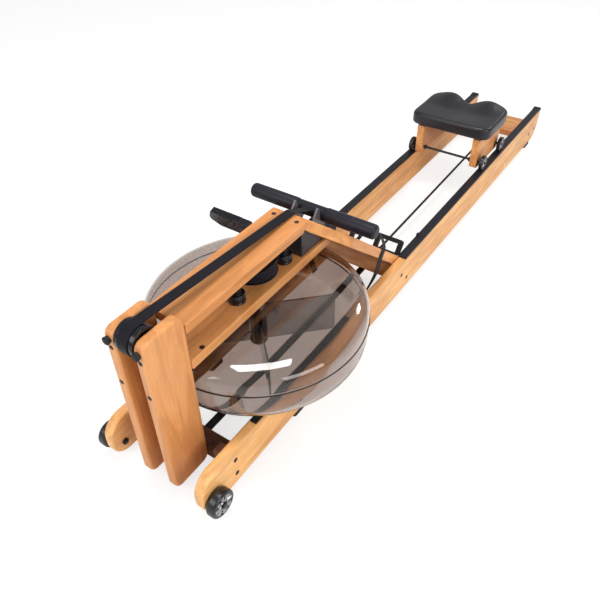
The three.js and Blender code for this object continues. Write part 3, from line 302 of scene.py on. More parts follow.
def drawn_in(outline, depth):
    """An anticlockwise outline moved inwards by depth, each corner along the line between its two
    edges."""
    edge = unit(np.roll(outline, -1, 0) - outline)
    before = np.roll(edge, 1, 0)
    square, square_before = np.c_[-edge[:, 1], edge[:, 0]], np.c_[-before[:, 1], before[:, 0]]
    spread = 1 + (square * square_before).sum(1, keepdims=True)
    return outline + depth * (square + square_before) / spread


# A shape is drawn as (a, b, run), with its run along an axis: these are the columns that give x, y, z.
AXES = {"x": (2, 0, 1), "y": (0, 2, 1), "z": (0, 1, 2)}


def board(outline, low, high, soft, axis="x", steps=4):
    """An outline carried from low to high along an axis; near both ends it draws in by
    soft * (1 - sin t) while it moves by soft * (1 - cos t)."""
    t = np.linspace(0, np.pi / 2, steps + 1)
    depths = np.r_[soft * (1 - np.sin(t)), soft * (1 - np.sin(t))[::-1]]
    places = np.r_[low + soft * (1 - np.cos(t)), (high - soft * (1 - np.cos(t)))[::-1]]
    rings = [np.c_[drawn_in(outline, d), np.full(len(outline), p)] for d, p in zip(depths, places)]
    return np.concatenate(rings)[:, AXES[axis]], grid(len(depths), len(outline), True), None


def block(low, high, radii, soft, axis="x", steps=9):
    """A board from its low and high corners; radii are those of its outline, anticlockwise from the
    low corner."""
    across = [place for place in range(3) if place != "xyz".index(axis)]
    (a, b), (c, d) = np.array(low)[across], np.array(high)[across]
    corners = [(*place, radius) for place, radius in zip([(a, b), (c, b), (c, d), (a, d)], radii)]
    along = "xyz".index(axis)
    return board(rounded(corners, steps), low[along], high[along], soft, axis)


def together(shapes):
    """Several shapes as one."""
    counts = np.cumsum([0] + [len(points) for points, _, _ in shapes])
    faces = [[corner + int(first) for corner in face]
             for first, (_, own, _) in zip(counts, shapes) for face in own]
    return np.concatenate([points for points, _, _ in shapes]), faces, None


def noise(material, **values):
    """Clouds of 0 to 1 in the piece's own coordinates."""
    place = add_node(material, "ShaderNodeTexCoord").outputs["Object"]
    return add_node(material, "ShaderNodeTexNoise", place, **values).outputs["Fac"]


def ranged(material, pattern, low, high, **values):
    """A pattern of 0 to 1 spread from low to high."""
    spread = {"Value": pattern, "To_Min": low, "To_Max": high, **values}
    return add_node(material, "ShaderNodeMapRange", **spread).outputs[0]


def toned(material, pattern, *stops):
    """Colours by a pattern of 0 to 1, straight from one (place, colour) stop to the other."""
    tones = add_node(material, "ShaderNodeValToRGB", pattern)
    for element, (place, colour) in zip(tones.color_ramp.elements, stops):
        element.position = place
        element.color = (*colour, 1)
    return tones.outputs[0]


def wood(name, turn=(0, 0, 0), start=(0, 0, 0), light=(0.84, 0.405, 0.145), warm=(0.70, 0.285, 0.085),
         dark=(0.36, 0.12, 0.032)):
    """Lacquered hardwood, grain along Y before the turn: slow bands of tone from warm to light, and
    growth lines, fine fibres and pores that each mix in some of the dark tone."""
    material, shader = bare_material(name, Coat_Weight=0.18, Coat_Roughness=0.25, Specular_IOR_Level=0.35)
    place = add_node(material, "ShaderNodeTexCoord").outputs["Object"]
    grain = add_node(material, "ShaderNodeMapping", place, start, turn, vector_type="TEXTURE")

    def stretched(kind, stretch, **values):
        """A texture's strength, with its coordinates scaled by the stretch."""
        pulled = add_node(material, "ShaderNodeMapping", grain.outputs[0], Scale=stretch)
        return add_node(material, kind, Vector=pulled.outputs[0], **values).outputs["Fac"]

    slow = stretched("ShaderNodeTexNoise", (2.2, 0.6, 2.2), Scale=9.0, Detail=4.0, Distortion=1.4)
    growth = stretched("ShaderNodeTexWave", (1.0, 0.16, 1.3), Scale=9.0, Distortion=13.0, Detail=3.0,
                       Detail_Scale=1.6)
    fibre = stretched("ShaderNodeTexNoise", (1.0, 0.025, 1.0), Scale=240.0, Detail=4.0)
    pores = stretched("ShaderNodeTexNoise", (1.0, 0.06, 1.0), Scale=520.0, Detail=2.0)
    colour = toned(material, slow, (0.30, warm), (0.68, light))
    darker = (growth, 0.35, 1.0, 0.30), (fibre, 0.48, 0.78, 0.30), (pores, 0.62, 0.80, 0.45)
    for amount, low, high, most in darker:
        share = ranged(material, amount, 0.0, most, From_Min=low, From_Max=high)
        colour = between(material, share, colour, (*dark, 1))
    gloss = ranged(material, fibre, 0.34, 0.52)
    return surfaced(material, shader, pores, 0.35, 0.0004, Base_Color=colour, Roughness=gloss)


rail_edge, rail_corners = 0.0055, (0.042, 0.065, 0.0062, 0.050)
for number, side in enumerate(("left", "right")):
    rail_wood = wood("rail_wood_" + side, start=(0.31 * number, 0.7 * number, 0.13),
                     light=(0.94, 0.53, 0.205), warm=(0.84, 0.41, 0.13))
    plank = block(*cad("rail_" + side), rail_corners, rail_edge, steps=14)
    make("rail_plank_" + side, plank, "frame", rail_wood, ["rail_" + side], even=True)

# Feet: four blocks of black rubber, moulded with soft edges, two under each rail. They keep the
# wood off the floor and the machine from sliding.


def moulded(name, colour, roughness, grain=0.0011, depth=0.00012, metal=0.0, coat=0.0, shine=0.5):
    """A moulded or coated finish: a fine grain in relief, and slow clouds that change its tone by the
    wear and its gloss a little."""
    wear, gloss_change, speck_at_scale_one, relief_strength = 0.12, 0.09, 0.62, 0.6
    material, shader = bare_material(name, Metallic=metal, Coat_Weight=coat, Coat_Roughness=0.15,
                                     Specular_IOR_Level=shine)
    speckle = noise(material, Scale=speck_at_scale_one / grain, Detail=2.0)
    cloud = noise(material, Scale=21.0, Detail=4.0, Roughness=0.6)
    worn = [c * (1 - wear) for c in colour]
    dusty = [c * (1 + 1.6 * wear) + 0.006 * wear for c in colour]
    tone = toned(material, cloud, (0.35, worn), (0.70, dusty))
    glossy, dull = max(roughness - gloss_change, 0.03), min(roughness + gloss_change, 1.0)
    gloss = ranged(material, cloud, glossy, dull)
    return surfaced(material, shader, speckle, relief_strength, depth, Base_Color=tone, Roughness=gloss)


black_rubber = moulded("black_rubber", (0.012, 0.012, 0.014), roughness=0.70, grain=0.0016, depth=0.0003,
                       shine=0.35)
for end in ("front", "rear"):
    for side in ("left", "right"):
        name = f"foot_{end}_{side}"
        foot = block(*cad(name), radii=[0.008] * 4, soft=0.0018, axis="z")
        make(name + "_block", foot, "frame", black_rubber, [name], even=True)

# Seat tracks: strips of hard black plastic on the rails' tops, which the seat's wheels roll on. Each
# has a small stop near its front end and curls down over the rail at its rear end.
track_plastic = moulded("track_plastic", (0.011, 0.011, 0.017), roughness=0.42, grain=0.0009, shine=0.28)
track_top, stop_from_front, stop_half = 0.1313, 0.120, 0.006
stop_inner, stop_outer = 0.120, 0.125
curl_start, curl_bend, curl_out, curl_drop, curl_rise, curl_round = 0.030, 0.003, 0.0046, 0.008, 0.0045, 0.006
for side, sign in (("left", -1), ("right", 1)):
    name = "track_" + side
    low, high = cad(name)
    strip = block(low, [high[0], high[1], track_top], radii=(0, 0, 0.0035, 0.0035), soft=0.0012)
    stop_middle = low[1] + stop_from_front
    near, far = sorted([sign * stop_inner, sign * stop_outer])
    stop = block([near, stop_middle - stop_half, low[2]], [far, stop_middle + stop_half, high[2]],
                 radii=(0, 0, 0.003, 0.003), soft=0.0006)
    rear, foot = high[1], low[2]
    curl = rounded([(rear - curl_start, track_top, 0), (rear - curl_bend, track_top, 0),
                    (rear + curl_bend, foot - curl_drop, 0), (rear + curl_out, foot - 0.006, 0.001),
                    (rear + curl_out, track_top + 0.001, curl_round),
                    (rear - curl_round, track_top + curl_rise, curl_round)])
    parts = [strip, stop, board(curl, low[0], high[0], soft=0.0008)]
    make(name + "_strip", together(parts), "frame", track_plastic, [name], even=True)

# Tank pads: thin rubber strips on the rails, hollowed where the tank presses on them. The CAD's own
# solids have the hollows already, so they stay and only get the rubber.
for side in ("left", "right"):
    pad_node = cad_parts["rail_pad_" + side]
    pad_node.data.materials.clear()
    pad_node.data.materials.append(black_rubber)

# Castors: wheels with a soft tyre and a spoked grey hub outside the rails' front ends, each on a
# steel bolt. The machine rolls on them when its rear end is lifted.


def turned(profile, axis, centre, steps=56):
    """A profile of (radius, height) turned about an axis: r * cos a, r * sin a, height."""
    profile = np.array(profile, dtype=float)
    angle = np.linspace(0, 2 * np.pi, steps, endpoint=False)
    r, h = profile[:, :1], profile[:, 1:]
    rings = np.stack(np.broadcast_arrays(r * np.cos(angle), r * np.sin(angle), h), -1).reshape(-1, 3)
    return rings[:, AXES[axis]] + np.array(centre), grid(len(profile), steps), None


def rim(radius, low, high, soft, bore, seat, depth, steps=7):
    """A wheel's closed section: a bore, faces sunk by depth out to the seat radius, and a tread with
    round shoulders, soft * (1 - sin t) by soft * (1 - cos t)."""
    t = np.linspace(0, np.pi / 2, steps)
    shoulder = np.c_[radius - soft * (1 - np.sin(t)), low + soft * (1 - np.cos(t))]
    mirror = np.c_[shoulder[:, 0], low + high - shoulder[:, 1]][::-1]
    start = [[bore, low + depth], [seat - depth, low + depth], [seat, low]]
    end = [[seat, high], [seat - depth, high - depth], [bore, high - depth], [bore, low + depth]]
    return np.r_[start, shoulder, mirror, end]


def spokes(bore, outer, place, out, count, depth, axis, centre, steps=96, rows=9):
    """A hub's face between two radii: out by depth from place at both rims and on the spokes, and sunk
    back to place between them, by the wave 1.6 * cos(count * a) + 0.4 held between 0 and 1."""
    t = np.linspace(0, 1, rows)[:, None]
    angle = np.linspace(0, 2 * np.pi, steps, endpoint=False)[None]
    r = bore + (outer - bore) * t
    wave = np.clip(1.6 * np.cos(count * angle) + 0.4, 0, 1)
    fade = np.clip(np.minimum(t, 1 - t) * 7, 0, 1)
    height = place + out * depth * (1 - fade * (1 - wave))
    flat = place + 0 * r
    face, back = (np.stack(np.broadcast_arrays(r * np.cos(angle), r * np.sin(angle), h), -1)
                  for h in (height, flat))
    both = np.concatenate([face, back[::-1], face[:1]]).reshape(-1, 3)
    return both[:, AXES[axis]] + np.array(centre), grid(2 * rows + 1, steps), None


tyre_rubber = moulded("tyre_rubber", (0.010, 0.010, 0.013), roughness=0.26, grain=0.0014, depth=0.00006)
hub_grey = moulded("hub_grey", (0.34, 0.35, 0.37), roughness=0.26, metal=0.8)
bolt_black = moulded("bolt_black", (0.035, 0.035, 0.038), roughness=0.30, metal=0.85, grain=0.0005,
                     depth=0.00004)
castor_sunk, bolt_shank, bolt_face, bolt_top = 0.003, 0.0047, 0.008, 0.006
washer, washer_inner, washer_outer = 0.009, 0.1463, 0.1497
for side, sign in (("left", -1), ("right", 1)):
    body = "castor_" + side
    low, high = cad(body)
    middle = (low + high) / 2
    radius, half = (high[2] - low[2]) / 2, (high[0] - low[0]) / 2
    tyre = rim(radius, -half, half, soft=0.006, bore=0.005, seat=0.0265, depth=castor_sunk)
    make(body + "_tyre", turned(tyre, "x", middle), body, tyre_rubber, [body])
    face = spokes(bore=0.0095, outer=0.0262, place=sign * (half - castor_sunk), out=sign, count=8,
                  depth=0.0026, axis="x", centre=middle)
    make(body + "_hub", face, body, hub_grey)
    bolt_low, bolt_high = cad("castor_bolt_" + side)
    near, far = sorted([abs(bolt_low[0]), abs(bolt_high[0])])
    bolt = [[0, near], [bolt_top, near], [bolt_face, near + 0.0015], [bolt_face, near + 0.006],
            [bolt_shank, near + 0.006], [bolt_shank, washer_inner], [washer, washer_inner],
            [washer, washer_outer], [bolt_shank, washer_outer], [bolt_shank, far - 0.003],
            [bolt_face, far - 0.003], [bolt_face, far - 0.001], [bolt_top, far], [0, far]]
    pin = turned(np.array(bolt) * [1, sign], "x", (0, middle[1], middle[2]), steps=32)
    make("castor_pin_" + side, pin, "frame", bolt_black, ["castor_bolt_" + side])

# Front cross board: a hardwood plank between the rails, behind the legs. Its dark brown is painted shade for
# the tank's shadow over it, not a stain. A cleat at each end takes the rails' bolts.
low, high = cad("front_cross_board")
# Painted shade: the plank and its cleats get a dark brown wood because they lie in the tank's shadow.
painted_shade_board = wood("shaded_wood", turn=(0, 0, math.pi / 2), light=(0.16, 0.060, 0.028),
              warm=(0.11, 0.038, 0.018), dark=(0.035, 0.012, 0.007))
plank_front, plank_top, cleat_back, cleat_width = -0.9252, 0.040, -0.9249, 0.0247
plank = [low[0], plank_front, low[2]], [high[0], high[1], plank_top]
parts = [block(*plank, radii=(0, 0.002, 0.002, 0), soft=0.0012)]
for sign in (-1, 1):
    near, far = sorted([sign * (high[0] - cleat_width), sign * high[0]])
    cleat = [near, low[1], low[2]], [far, cleat_back, high[2]]
    parts.append(block(*cleat, radii=(0.002, 0, 0.002, 0.002), soft=0.0012))
make("front_board", together(parts), "frame", painted_shade_board, ["front_cross_board"], even=True)

# Rear cross board: a hardwood plank between the rails' rear ends, with its grain across the
# machine. It holds the rails apart and takes the recoil cord's end.
cross_wood = wood("rear_board_wood", turn=(0, 0, math.pi / 2), start=(0.4, 0.1, 0.2))
plank = block(*cad("rear_cross_board"), radii=[0.004] * 4, soft=0.0015)
make("rear_board", plank, "frame", cross_wood, ["rear_cross_board"], even=True)

# Spine: a flat bar of black-painted steel along the middle, under the tank. Its edges are
# slightly rounded, and its rear end is drawn 7 mm shorter than the CAD's.
black_steel = moulded("black_steel", (0.022, 0.022, 0.024), roughness=0.40, metal=0.55, grain=0.0007)
low, high = cad("spine_bar")
spine_short = np.array([0, 0.007, 0])
bar = block(low, high - spine_short, radii=[0.0015] * 4, soft=0.001, axis="y")
make("spine", bar, "frame", black_steel, ["spine_bar"], even=True)

# Legs: two upright boards with large round corners that carry the decks' front ends. A rubber
# bumper on each front edge takes the floor when the machine is stood up for storage.
for number, side in enumerate(("left", "right")):
    leg_wood = wood("leg_wood_" + side, turn=(math.pi / 2, 0, 0),
                    start=(0.2 + 0.5 * number, 0.3, 0.9 * number), light=(0.79, 0.36, 0.128))
    leg = block(*cad("leg_" + side), radii=[0.020] * 4, soft=rail_edge, steps=12)
    make("leg_board_" + side, leg, "frame", leg_wood, ["leg_" + side], even=True)
    low, high = cad("bumper_" + side)
    middle, front, rear, knob_radius, knob_neck = (low + high) / 2, low[1], high[1], 0.009, 0.0078
    knob = [[0, front], [0.0065, front], [0.0085, front + 0.0012], [knob_radius, front + 0.0035],
            [knob_neck, rear - 0.002], [knob_neck, rear], [0, rear]]
    knob = turned(knob, "y", (middle[0], 0, middle[2]), steps=32)
    make("bumper_knob_" + side, knob, "frame", black_rubber, ["bumper_" + side])

# Decks: two planks behind the legs with the belt's drum between them, cut off to the footboard's
# slope, and a grey plastic block that keeps them apart at the rear.
slope_angle = math.radians(40.1)
slope = np.array([math.cos(slope_angle), -math.sin(slope_angle)])
square_up = np.array([math.sin(slope_angle), math.cos(slope_angle)])
board_start, board_depth, board_gap, spacer_gap = np.array([-0.5086, 0.430]), 0.026, 0.0003, 0.0006


def on_board(s, n):
    """(y, z) of a place s down the footboard's face and n above it."""
    return board_start + s * slope + n * square_up


def reach_at(z, n):
    """y where the line n above the footboard's face passes the height z."""
    return on_board(0, n)[0] + (z - on_board(0, n)[1]) * slope[0] / slope[1]


def cut_off(low, high, low_end, high_end, radius, soft):
    """A board whose rear end slopes from low_end at its bottom to high_end at its top."""
    corners = [(low[1], low[2], radius), (low_end, low[2], radius), (high_end, high[2], radius),
               (low[1], high[2], radius)]
    return board(rounded(corners), low[0], high[0], soft)


low, high = cad("top_deck")
drop = (high[2] - low[2]) * square_up[0] / square_up[1]
deck_wood = wood("top_deck_wood", start=(0.83, 0.2, 0.4), light=(0.75, 0.325, 0.108),
                 warm=(0.64, 0.25, 0.075))
deck = cut_off(low, high, high[1] - drop, high[1], radius=0.003, soft=0.0026)
make("top_deck_board", deck, "frame", deck_wood, ["top_deck"], even=True)
low, high = cad("lower_deck")
lower_wood = wood("lower_deck_wood", start=(0.1, 0.6, 0.75))
under_board = -board_depth - board_gap
ends = reach_at(low[2], under_board), reach_at(high[2], under_board)
deck = cut_off(low, high, *ends, radius=0.003, soft=0.0026)
make("lower_deck_board", deck, "frame", lower_wood, ["lower_deck"], even=True)
low, high = cad("rear_spacer")
block_grey = moulded("block_grey", (0.024, 0.022, 0.027), roughness=0.42)
under_board = -board_depth - spacer_gap
ends = reach_at(low[2], under_board), reach_at(high[2], under_board)
spacer = cut_off(low, high, *ends, radius=0.002, soft=0.002)
make("deck_spacer", spacer, "frame", block_grey, ["rear_spacer"], even=True)

# Footboard: a wide plank on a slope for both feet, drawn in at its upper end to the decks' width.
# A block under its lower end is bolted between the rails.


def on_slope(shape):
    """A shape drawn with (x, s, n) moved onto the footboard: s down its face and n above it."""
    points, faces, runs = shape
    placed = board_start + points[:, 1:2] * slope + points[:, 2:] * square_up
    return np.c_[points[:, 0], placed], faces, runs


low, high = cad("footboard")
deck_side, taper, board_length = 0.051, 0.120, 0.511
foot_wood = wood("footboard_wood", turn=(-slope_angle, 0, 0), start=(0.55, 0.35, 0.6))
plan = [(low[0], taper, 0.01), (low[0], board_length, 0.003), (high[0], board_length, 0.003),
        (high[0], taper, 0.01), (deck_side, 0, 0.003), (-deck_side, 0, 0.003)]
plank = board(rounded(plan)[::-1], -board_depth, 0, soft=0.0026, axis="z")
make("footboard_plank", on_slope(plank), "frame", foot_wood, ["footboard"], even=True)
block_wood = wood("foot_block_wood", turn=(0, 0, math.pi / 2), start=(0.9, 0.25, 0.1))
block_half, block_depth, block_top = 0.045, 0.044, -board_depth - board_gap
foot_block = block([low[0], board_length - block_half, block_top - block_depth],
                   [high[0], board_length + block_half, block_top], radii=[0.003] * 4, soft=0.002)
make("footboard_block", on_slope(foot_block), "frame", block_wood, ["foot_block"], even=True)

# Heel rests: open frames of black plastic that stand square on the footboard behind the heels. Each
# is a finished copy of the CAD's solid, with its edges rounded.


def dressed(name, finished, body, material, soft, angle=32, segments=3):
    """A finished copy of a solid: corners merged, flat faces made whole, every sharp edge rounded by
    soft."""
    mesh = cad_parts[name].data.copy()
    mesh.name = finished
    skin = bmesh.new()
    skin.from_mesh(mesh)
    bmesh.ops.remove_doubles(skin, verts=skin.verts, dist=1e-5)
    bmesh.ops.dissolve_limit(skin, angle_limit=math.radians(0.6), verts=skin.verts, edges=skin.edges)
    skin.to_mesh(mesh)
    skin.free()
    mesh.polygons.foreach_set("use_smooth", np.ones(len(mesh.polygons), dtype=bool))
    mesh.set_sharp_from_angle(angle=math.radians(angle + 8))
    mesh.materials.clear()
    mesh.materials.append(material)
    made = bpy.data.objects.new(finished, mesh)
    bpy.context.scene.collection.objects.link(made)
    rounding = made.modifiers.new("soft_edges", "BEVEL")
    rounding.width = soft
    rounding.segments = segments
    rounding.limit_method = "ANGLE"
    rounding.angle_limit = math.radians(angle)
    rounding.harden_normals = False
    made.modifiers.new("even_light", "WEIGHTED_NORMAL").keep_sharp = True
    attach(made, body)
    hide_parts(name)
    return made


black_plastic = moulded("black_plastic", (0.009, 0.009, 0.014), roughness=0.36, shine=0.28)
for side in ("left", "right"):
    dressed("heel_rest_" + side, "heel_frame_" + side, "frame", black_plastic, soft=0.0022)

# Foot straps: webbing that starts on the board, passes over each foot and round the board's edge,
# and hangs down behind it in a loose tail with a stitched thick end.


def ribbon(path, across, width, thickness, sides=22):
    """A flat section with round edges carried along a path, its width turned to lie along across: the
    half width times |cos a| ** 0.28 by the half thickness times |sin a| ** 0.5, each with its sign."""
    along = unit(np.gradient(path, axis=0))
    side = unit(across - (across * along).sum(1, keepdims=True) * along)
    up = np.cross(side, along)
    angle = np.linspace(0, 2 * np.pi, sides, endpoint=False)
    a = width / 2 * np.sign(np.cos(angle)) * np.abs(np.cos(angle)) ** 0.28
    edge = np.sign(np.sin(angle)) * np.abs(np.sin(angle)) ** 0.5
    b = np.broadcast_to(thickness / 2, (len(path),))[:, None] * edge[None]
    points = path[:, None] + a[None, :, None] * side[:, None] + b[:, :, None] * up[:, None]
    runs = np.stack(np.broadcast_arrays(travelled(path)[:, None], a[None, :]), -1).reshape(-1, 2)
    return points.reshape(-1, 3), grid(len(path), sides, True), runs


def evened(points, count):
    """The same path with its points spaced evenly along its length."""
    run = travelled(points)
    wanted = np.linspace(0, run[-1], count)
    return np.stack([np.interp(wanted, run, points[:, k]) for k in range(points.shape[1])], -1)


strap_web = woven("strap_web", (0.005, 0.005, 0.007), (0.022, 0.022, 0.028), pitch=0.0021, depth=0.0005,
                  roughness=0.7, sheen=0.06, shine=0.2)
board_edge, strap_lift, strap_start, strap_place = 0.1197, 0.0013, 0.028, 0.337
strap_edge, strap_below, strap_arch = board_edge + strap_lift, -0.0335, 0.046
tail_drop, tail_swing, tail_steps, strap_steps, thick_steps = 0.125, 0.036, 29, 150, 17
strap_width, strap_thick, strap_thin, arch_steps = 0.025, 0.0034, 0.0019, 60
for side, sign in (("left", -1), ("right", 1)):
    # Over the foot: (x, height above the board's face) from the start to below the board's edge.
    t = np.linspace(0, 1, arch_steps)
    arch_x = strap_start + (strap_edge - strap_start) * (0.12 + 0.88 * t)
    arch_n = strap_lift + strap_arch * np.sin(np.pi * t) ** 0.6 * (1 - 0.25 * t)
    over = np.r_[[[strap_start, strap_lift]], np.c_[arch_x, arch_n],
                 [[strap_edge, strap_below / 2], [strap_edge, strap_below]]]
    place = board_start + strap_place * slope + over[:, 1:] * square_up
    # The tail: it falls behind the board and swings inwards, its width turning from the slope to level.
    fold = on_board(strap_place, strap_below)
    hang = np.linspace(0, 1, tail_steps + 1)[1:]
    tail_x = strap_edge - tail_swing * hang ** 1.5
    tail = np.c_[tail_x, np.full(tail_steps, fold[0]), fold[1] - tail_drop * hang]
    route = np.r_[np.c_[over[:, 0], place], tail]
    turning = np.r_[np.zeros(len(over)), hang]
    joined = evened(np.c_[route, turning], strap_steps)
    route, turning = joined[:, :3] * [sign, 1, 1], joined[:, 3:]
    across = np.c_[np.zeros(strap_steps), slope[0] + (1 - slope[0]) * turning, slope[1] * (1 - turning)]
    thick = np.where(np.arange(strap_steps) >= strap_steps - thick_steps, strap_thick, strap_thin)
    strap = ribbon(route, across, strap_width, thick)
    make("strap_" + side, strap, "frame", strap_web, ["foot_strap_" + side])

# Front pulley: a broad roller of smooth black plastic between the legs, on a steel axle let into
# both. The belt turns back over it.


def rod(radius, low, high, bevel, rise=0.0006):
    """A round bar's section from low to high, with bevelled ends."""
    return [[0, low], [radius - bevel, low], [radius, low + rise],
            [radius, high - rise], [radius - bevel, high], [0, high]]


low, high = cad("front_pulley")
pulley_middle = (low + high) / 2
pulley_radius = (high[2] - low[2]) / 2
pulley_line = (0, pulley_middle[1], pulley_middle[2])
roller_plastic = moulded("roller_plastic", (0.006, 0.006, 0.009), roughness=0.20, shine=0.4)
roller = rim(pulley_radius, low[0], high[0], soft=0.0015, bore=0.0064, seat=0.0265, depth=0.007)
roller = turned(roller, "x", pulley_line, steps=72)
make("belt_roller", roller, "front_pulley", roller_plastic, ["front_pulley"])
low, high = cad("pulley_axle")
pin = turned(rod(0.006, low[0], high[0], bevel=0.0005), "x", pulley_line, steps=32)
make("roller_axle", pin, "frame", bolt_black, ["pulley_axle"])

# Drum and bobbins: a flanged reel on the paddle's shaft winds the belt; two small bobbins beside it
# guide the recoil cord between the decks. All are of the roller's smooth black plastic.
low, high = cad("drive_drum")
drum_middle = (low + high) / 2
drum_height, drum_bore, drum_hub, drum_core = 0.033, 0.0073, 0.015, 0.050
drum_bottom, drum_top = high[2] - drum_height, high[2]
flange, flange_edge, flange_radius = 0.0025, 0.0545, 0.056
lip = np.array([[flange_edge, 0], [flange_radius, 0.0008], [flange_radius, 0.0018], [flange_edge, flange]])
drum = np.r_[[[drum_bore, low[2]], [drum_hub, low[2]], [drum_hub, drum_bottom]], lip + [0, drum_bottom],
             [[drum_core, drum_bottom + flange], [drum_core, drum_top - flange]],
             (lip * [1, -1])[::-1] + [0, drum_top],
             [[drum_hub, drum_top], [drum_bore, drum_top], [drum_bore, low[2]]]]
reel = turned(drum, "z", (0, drum_middle[1], 0), steps=80)
make("belt_reel", reel, "drive_drum", roller_plastic, ["drive_drum"])
foot_flange = [[0, 0], [0.0188, 0], [0.020, 0.0012], [0.020, 0.004], [0.0192, 0.005]]
spool_body = [[0.0192, 0.0215], [0.0180, 0.0235], [0.0165, 0.024], [0.0135, 0.024]]
spool_neck = [[0.012, 0.0255], [0.012, 0.041], [0.0130, 0.0438], [0.0150, 0.044]]
top_flange = [[0.016, 0.045], [0.016, 0.048], [0.015, 0.049], [0.0075, 0.049], [0.005, 0.051]]
spool = np.array(foot_flange + spool_body + spool_neck + top_flange)
for name in ("bobbin_front", "bobbin_rear"):
    low, high = cad(name)
    middle = (low + high) / 2
    profile = np.r_[spool + [0, low[2]], [[spool[-1, 0], high[2]], [0, high[2]]]]
    bobbin = turned(profile, "z", (middle[0], middle[1], 0), steps=40)
    make(name + "_spool", bobbin, name, roller_plastic, [name])

# Drive belt: flat woven webbing, wound on the drum, twisted a quarter turn to the roller, then
# along the top deck and over the footboard's upper edge to the handle.


def arc(centre, radius, angles):
    """Points (0, y, z) round a centre: centre + radius * (cos a, sin a)."""
    y, z = centre[0] + radius * np.cos(angles), centre[1] + radius * np.sin(angles)
    return np.c_[np.zeros_like(y), y, z]


handle_down, handle_lift, tie_short = 0.0946, 0.0275, 0.0176
handle_axis = on_board(handle_down, handle_lift)
roller_at = np.array([pulley_middle[1], pulley_middle[2]])
on_core, lap, laps, belt_off, bend_radius = 0.0513, 0.0021, 1.55, 0.0013, 0.004
on_drum, on_roller = on_core + lap * laps, pulley_radius + belt_off
belt_height = drum_bottom + drum_height / 2
belt_width, belt_thickness = 0.026, 0.002
wound_steps, twist_steps, rolled_steps, bent_steps, down_steps = 130, 40, 60, 12, 21

# Round the drum in a spiral, out to the side from which it leaves for the roller.
leaving = -math.asin(on_drum / (drum_middle[1] - roller_at[0]))
wind = np.linspace(leaving + 2 * math.pi * laps, leaving, wound_steps)
wound_at = np.linspace(on_core, on_drum, wound_steps)
wound = np.c_[-wound_at * np.cos(wind), drum_middle[1] + wound_at * np.sin(wind),
              np.full(wound_steps, belt_height)]

# To the roller's underside, the height changing smoothly, then round the roller.
t = np.linspace(0, 1, twist_steps + 2)[1:-1]
ease = (3 * t ** 2 - 2 * t ** 3)[:, None]
under = np.array([0, roller_at[0], roller_at[1] - on_roller])
twist = wound[-1] + (under - wound[-1]) * t[:, None]
twist[:, 2:] = wound[-1, 2] + (under[2] - wound[-1, 2]) * ease
over = board_start[1] + bend_radius - roller_at[1] - on_roller
fall = math.atan2(-over, board_start[0] - roller_at[0])
rolling = np.linspace(-math.pi / 2, -math.pi / 2 - (math.pi + fall), rolled_steps)
rolled = arc(roller_at, on_roller, rolling)

# Along the top deck, over the footboard's upper edge and down to the handle's hub.
aim = unit(handle_axis - board_start)
steep = math.atan2(-aim[1], aim[0])
bending = np.linspace(math.pi / 2 - fall, math.pi / 2 - steep, bent_steps)
bent = arc(board_start, bend_radius, bending)
run_along = np.linspace(rolled[-1], bent[0], twist_steps + 2)[1:-1]
tied = handle_axis - aim * tie_short + bend_radius * np.array([-aim[1], aim[0]])
run_down = np.linspace(bent[-1], [0, *tied], down_steps + 1)[1:]
belt_route = np.r_[wound, twist, rolled, run_along, bent, run_down]

# The belt stands on edge on the drum, lies flat from the roller on, and turns smoothly in between.
belt_across = np.zeros_like(belt_route)
belt_across[:wound_steps, 2] = 1
twisting = slice(wound_steps, wound_steps + twist_steps)
belt_across[twisting] = np.c_[np.sin(ease * math.pi / 2), 0 * ease, np.cos(ease * math.pi / 2)]
belt_across[wound_steps + twist_steps:, 0] = 1
belt_web = woven("belt_web", (0.004, 0.004, 0.007), (0.016, 0.014, 0.024), pitch=0.0022, depth=0.0004,
                 roughness=0.5, sheen=0.02, shine=0.14)
belt_shape = ribbon(belt_route, belt_across, belt_width, belt_thickness)
belt = make("belt", belt_shape, None, belt_web, ["drive_belt"])
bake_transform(belt)

# Handle: a black plastic bar with a hub for the belt and a soft rubber grip on each side, domed at
# its end. At rest it lies on two grey forks near the footboard's upper edge.
low, high = cad("handle_bar")
hub_radius, core_radius, hub_half, hub_bevel = 0.017, 0.012, 0.040, 0.0015
handle_line = (0, handle_axis[0], handle_axis[1])
hub_foot = hub_half + 0.0002
core = [[0, low[0]], [core_radius, low[0]], [core_radius, -hub_foot],
        [hub_radius - hub_bevel, -hub_half], [hub_radius, hub_bevel - hub_half],
        [hub_radius, hub_half - hub_bevel], [hub_radius - hub_bevel, hub_half],
        [core_radius, hub_foot], [core_radius, high[0]], [0, high[0]]]
handle_plastic = moulded("handle_plastic", (0.010, 0.010, 0.015), roughness=0.34, shine=0.28)
core = turned(core, "x", handle_line, steps=64)
make("handle_core", core, "handle", handle_plastic, ["handle_bar"])
grip_rubber = moulded("grip_rubber", (0.013, 0.012, 0.020), roughness=0.44, grain=0.0013, depth=0.0002,
                      shine=0.28)
grip_radius, grip_bore, near, grip_end, grip_cap = 0.0185, core_radius + 0.0003, 0.0403, 0.180, 0.009
dome_steps = 12
for side, sign in (("left", -1), ("right", 1)):
    t = np.linspace(0, np.pi / 2, dome_steps)
    dome = np.c_[grip_radius - grip_cap * (1 - np.cos(t)), grip_end - grip_cap * (1 - np.sin(t))]
    start = [[grip_bore, near], [grip_radius - 0.0022, near], [grip_radius - 0.0008, near + 0.0014],
             [grip_radius, near + 0.004]]
    end = [[0, grip_end], [0, grip_end - grip_cap], [grip_bore, grip_end - grip_cap], [grip_bore, near]]
    section = np.r_[start, dome, end] * [1, sign]
    grip = turned(section, "x", handle_line, steps=64)
    make("grip_" + side, grip, "handle", grip_rubber, ["handle_grip_" + side])
rest_grey = moulded("rest_grey", (0.135, 0.13, 0.15), roughness=0.32, metal=0.3)
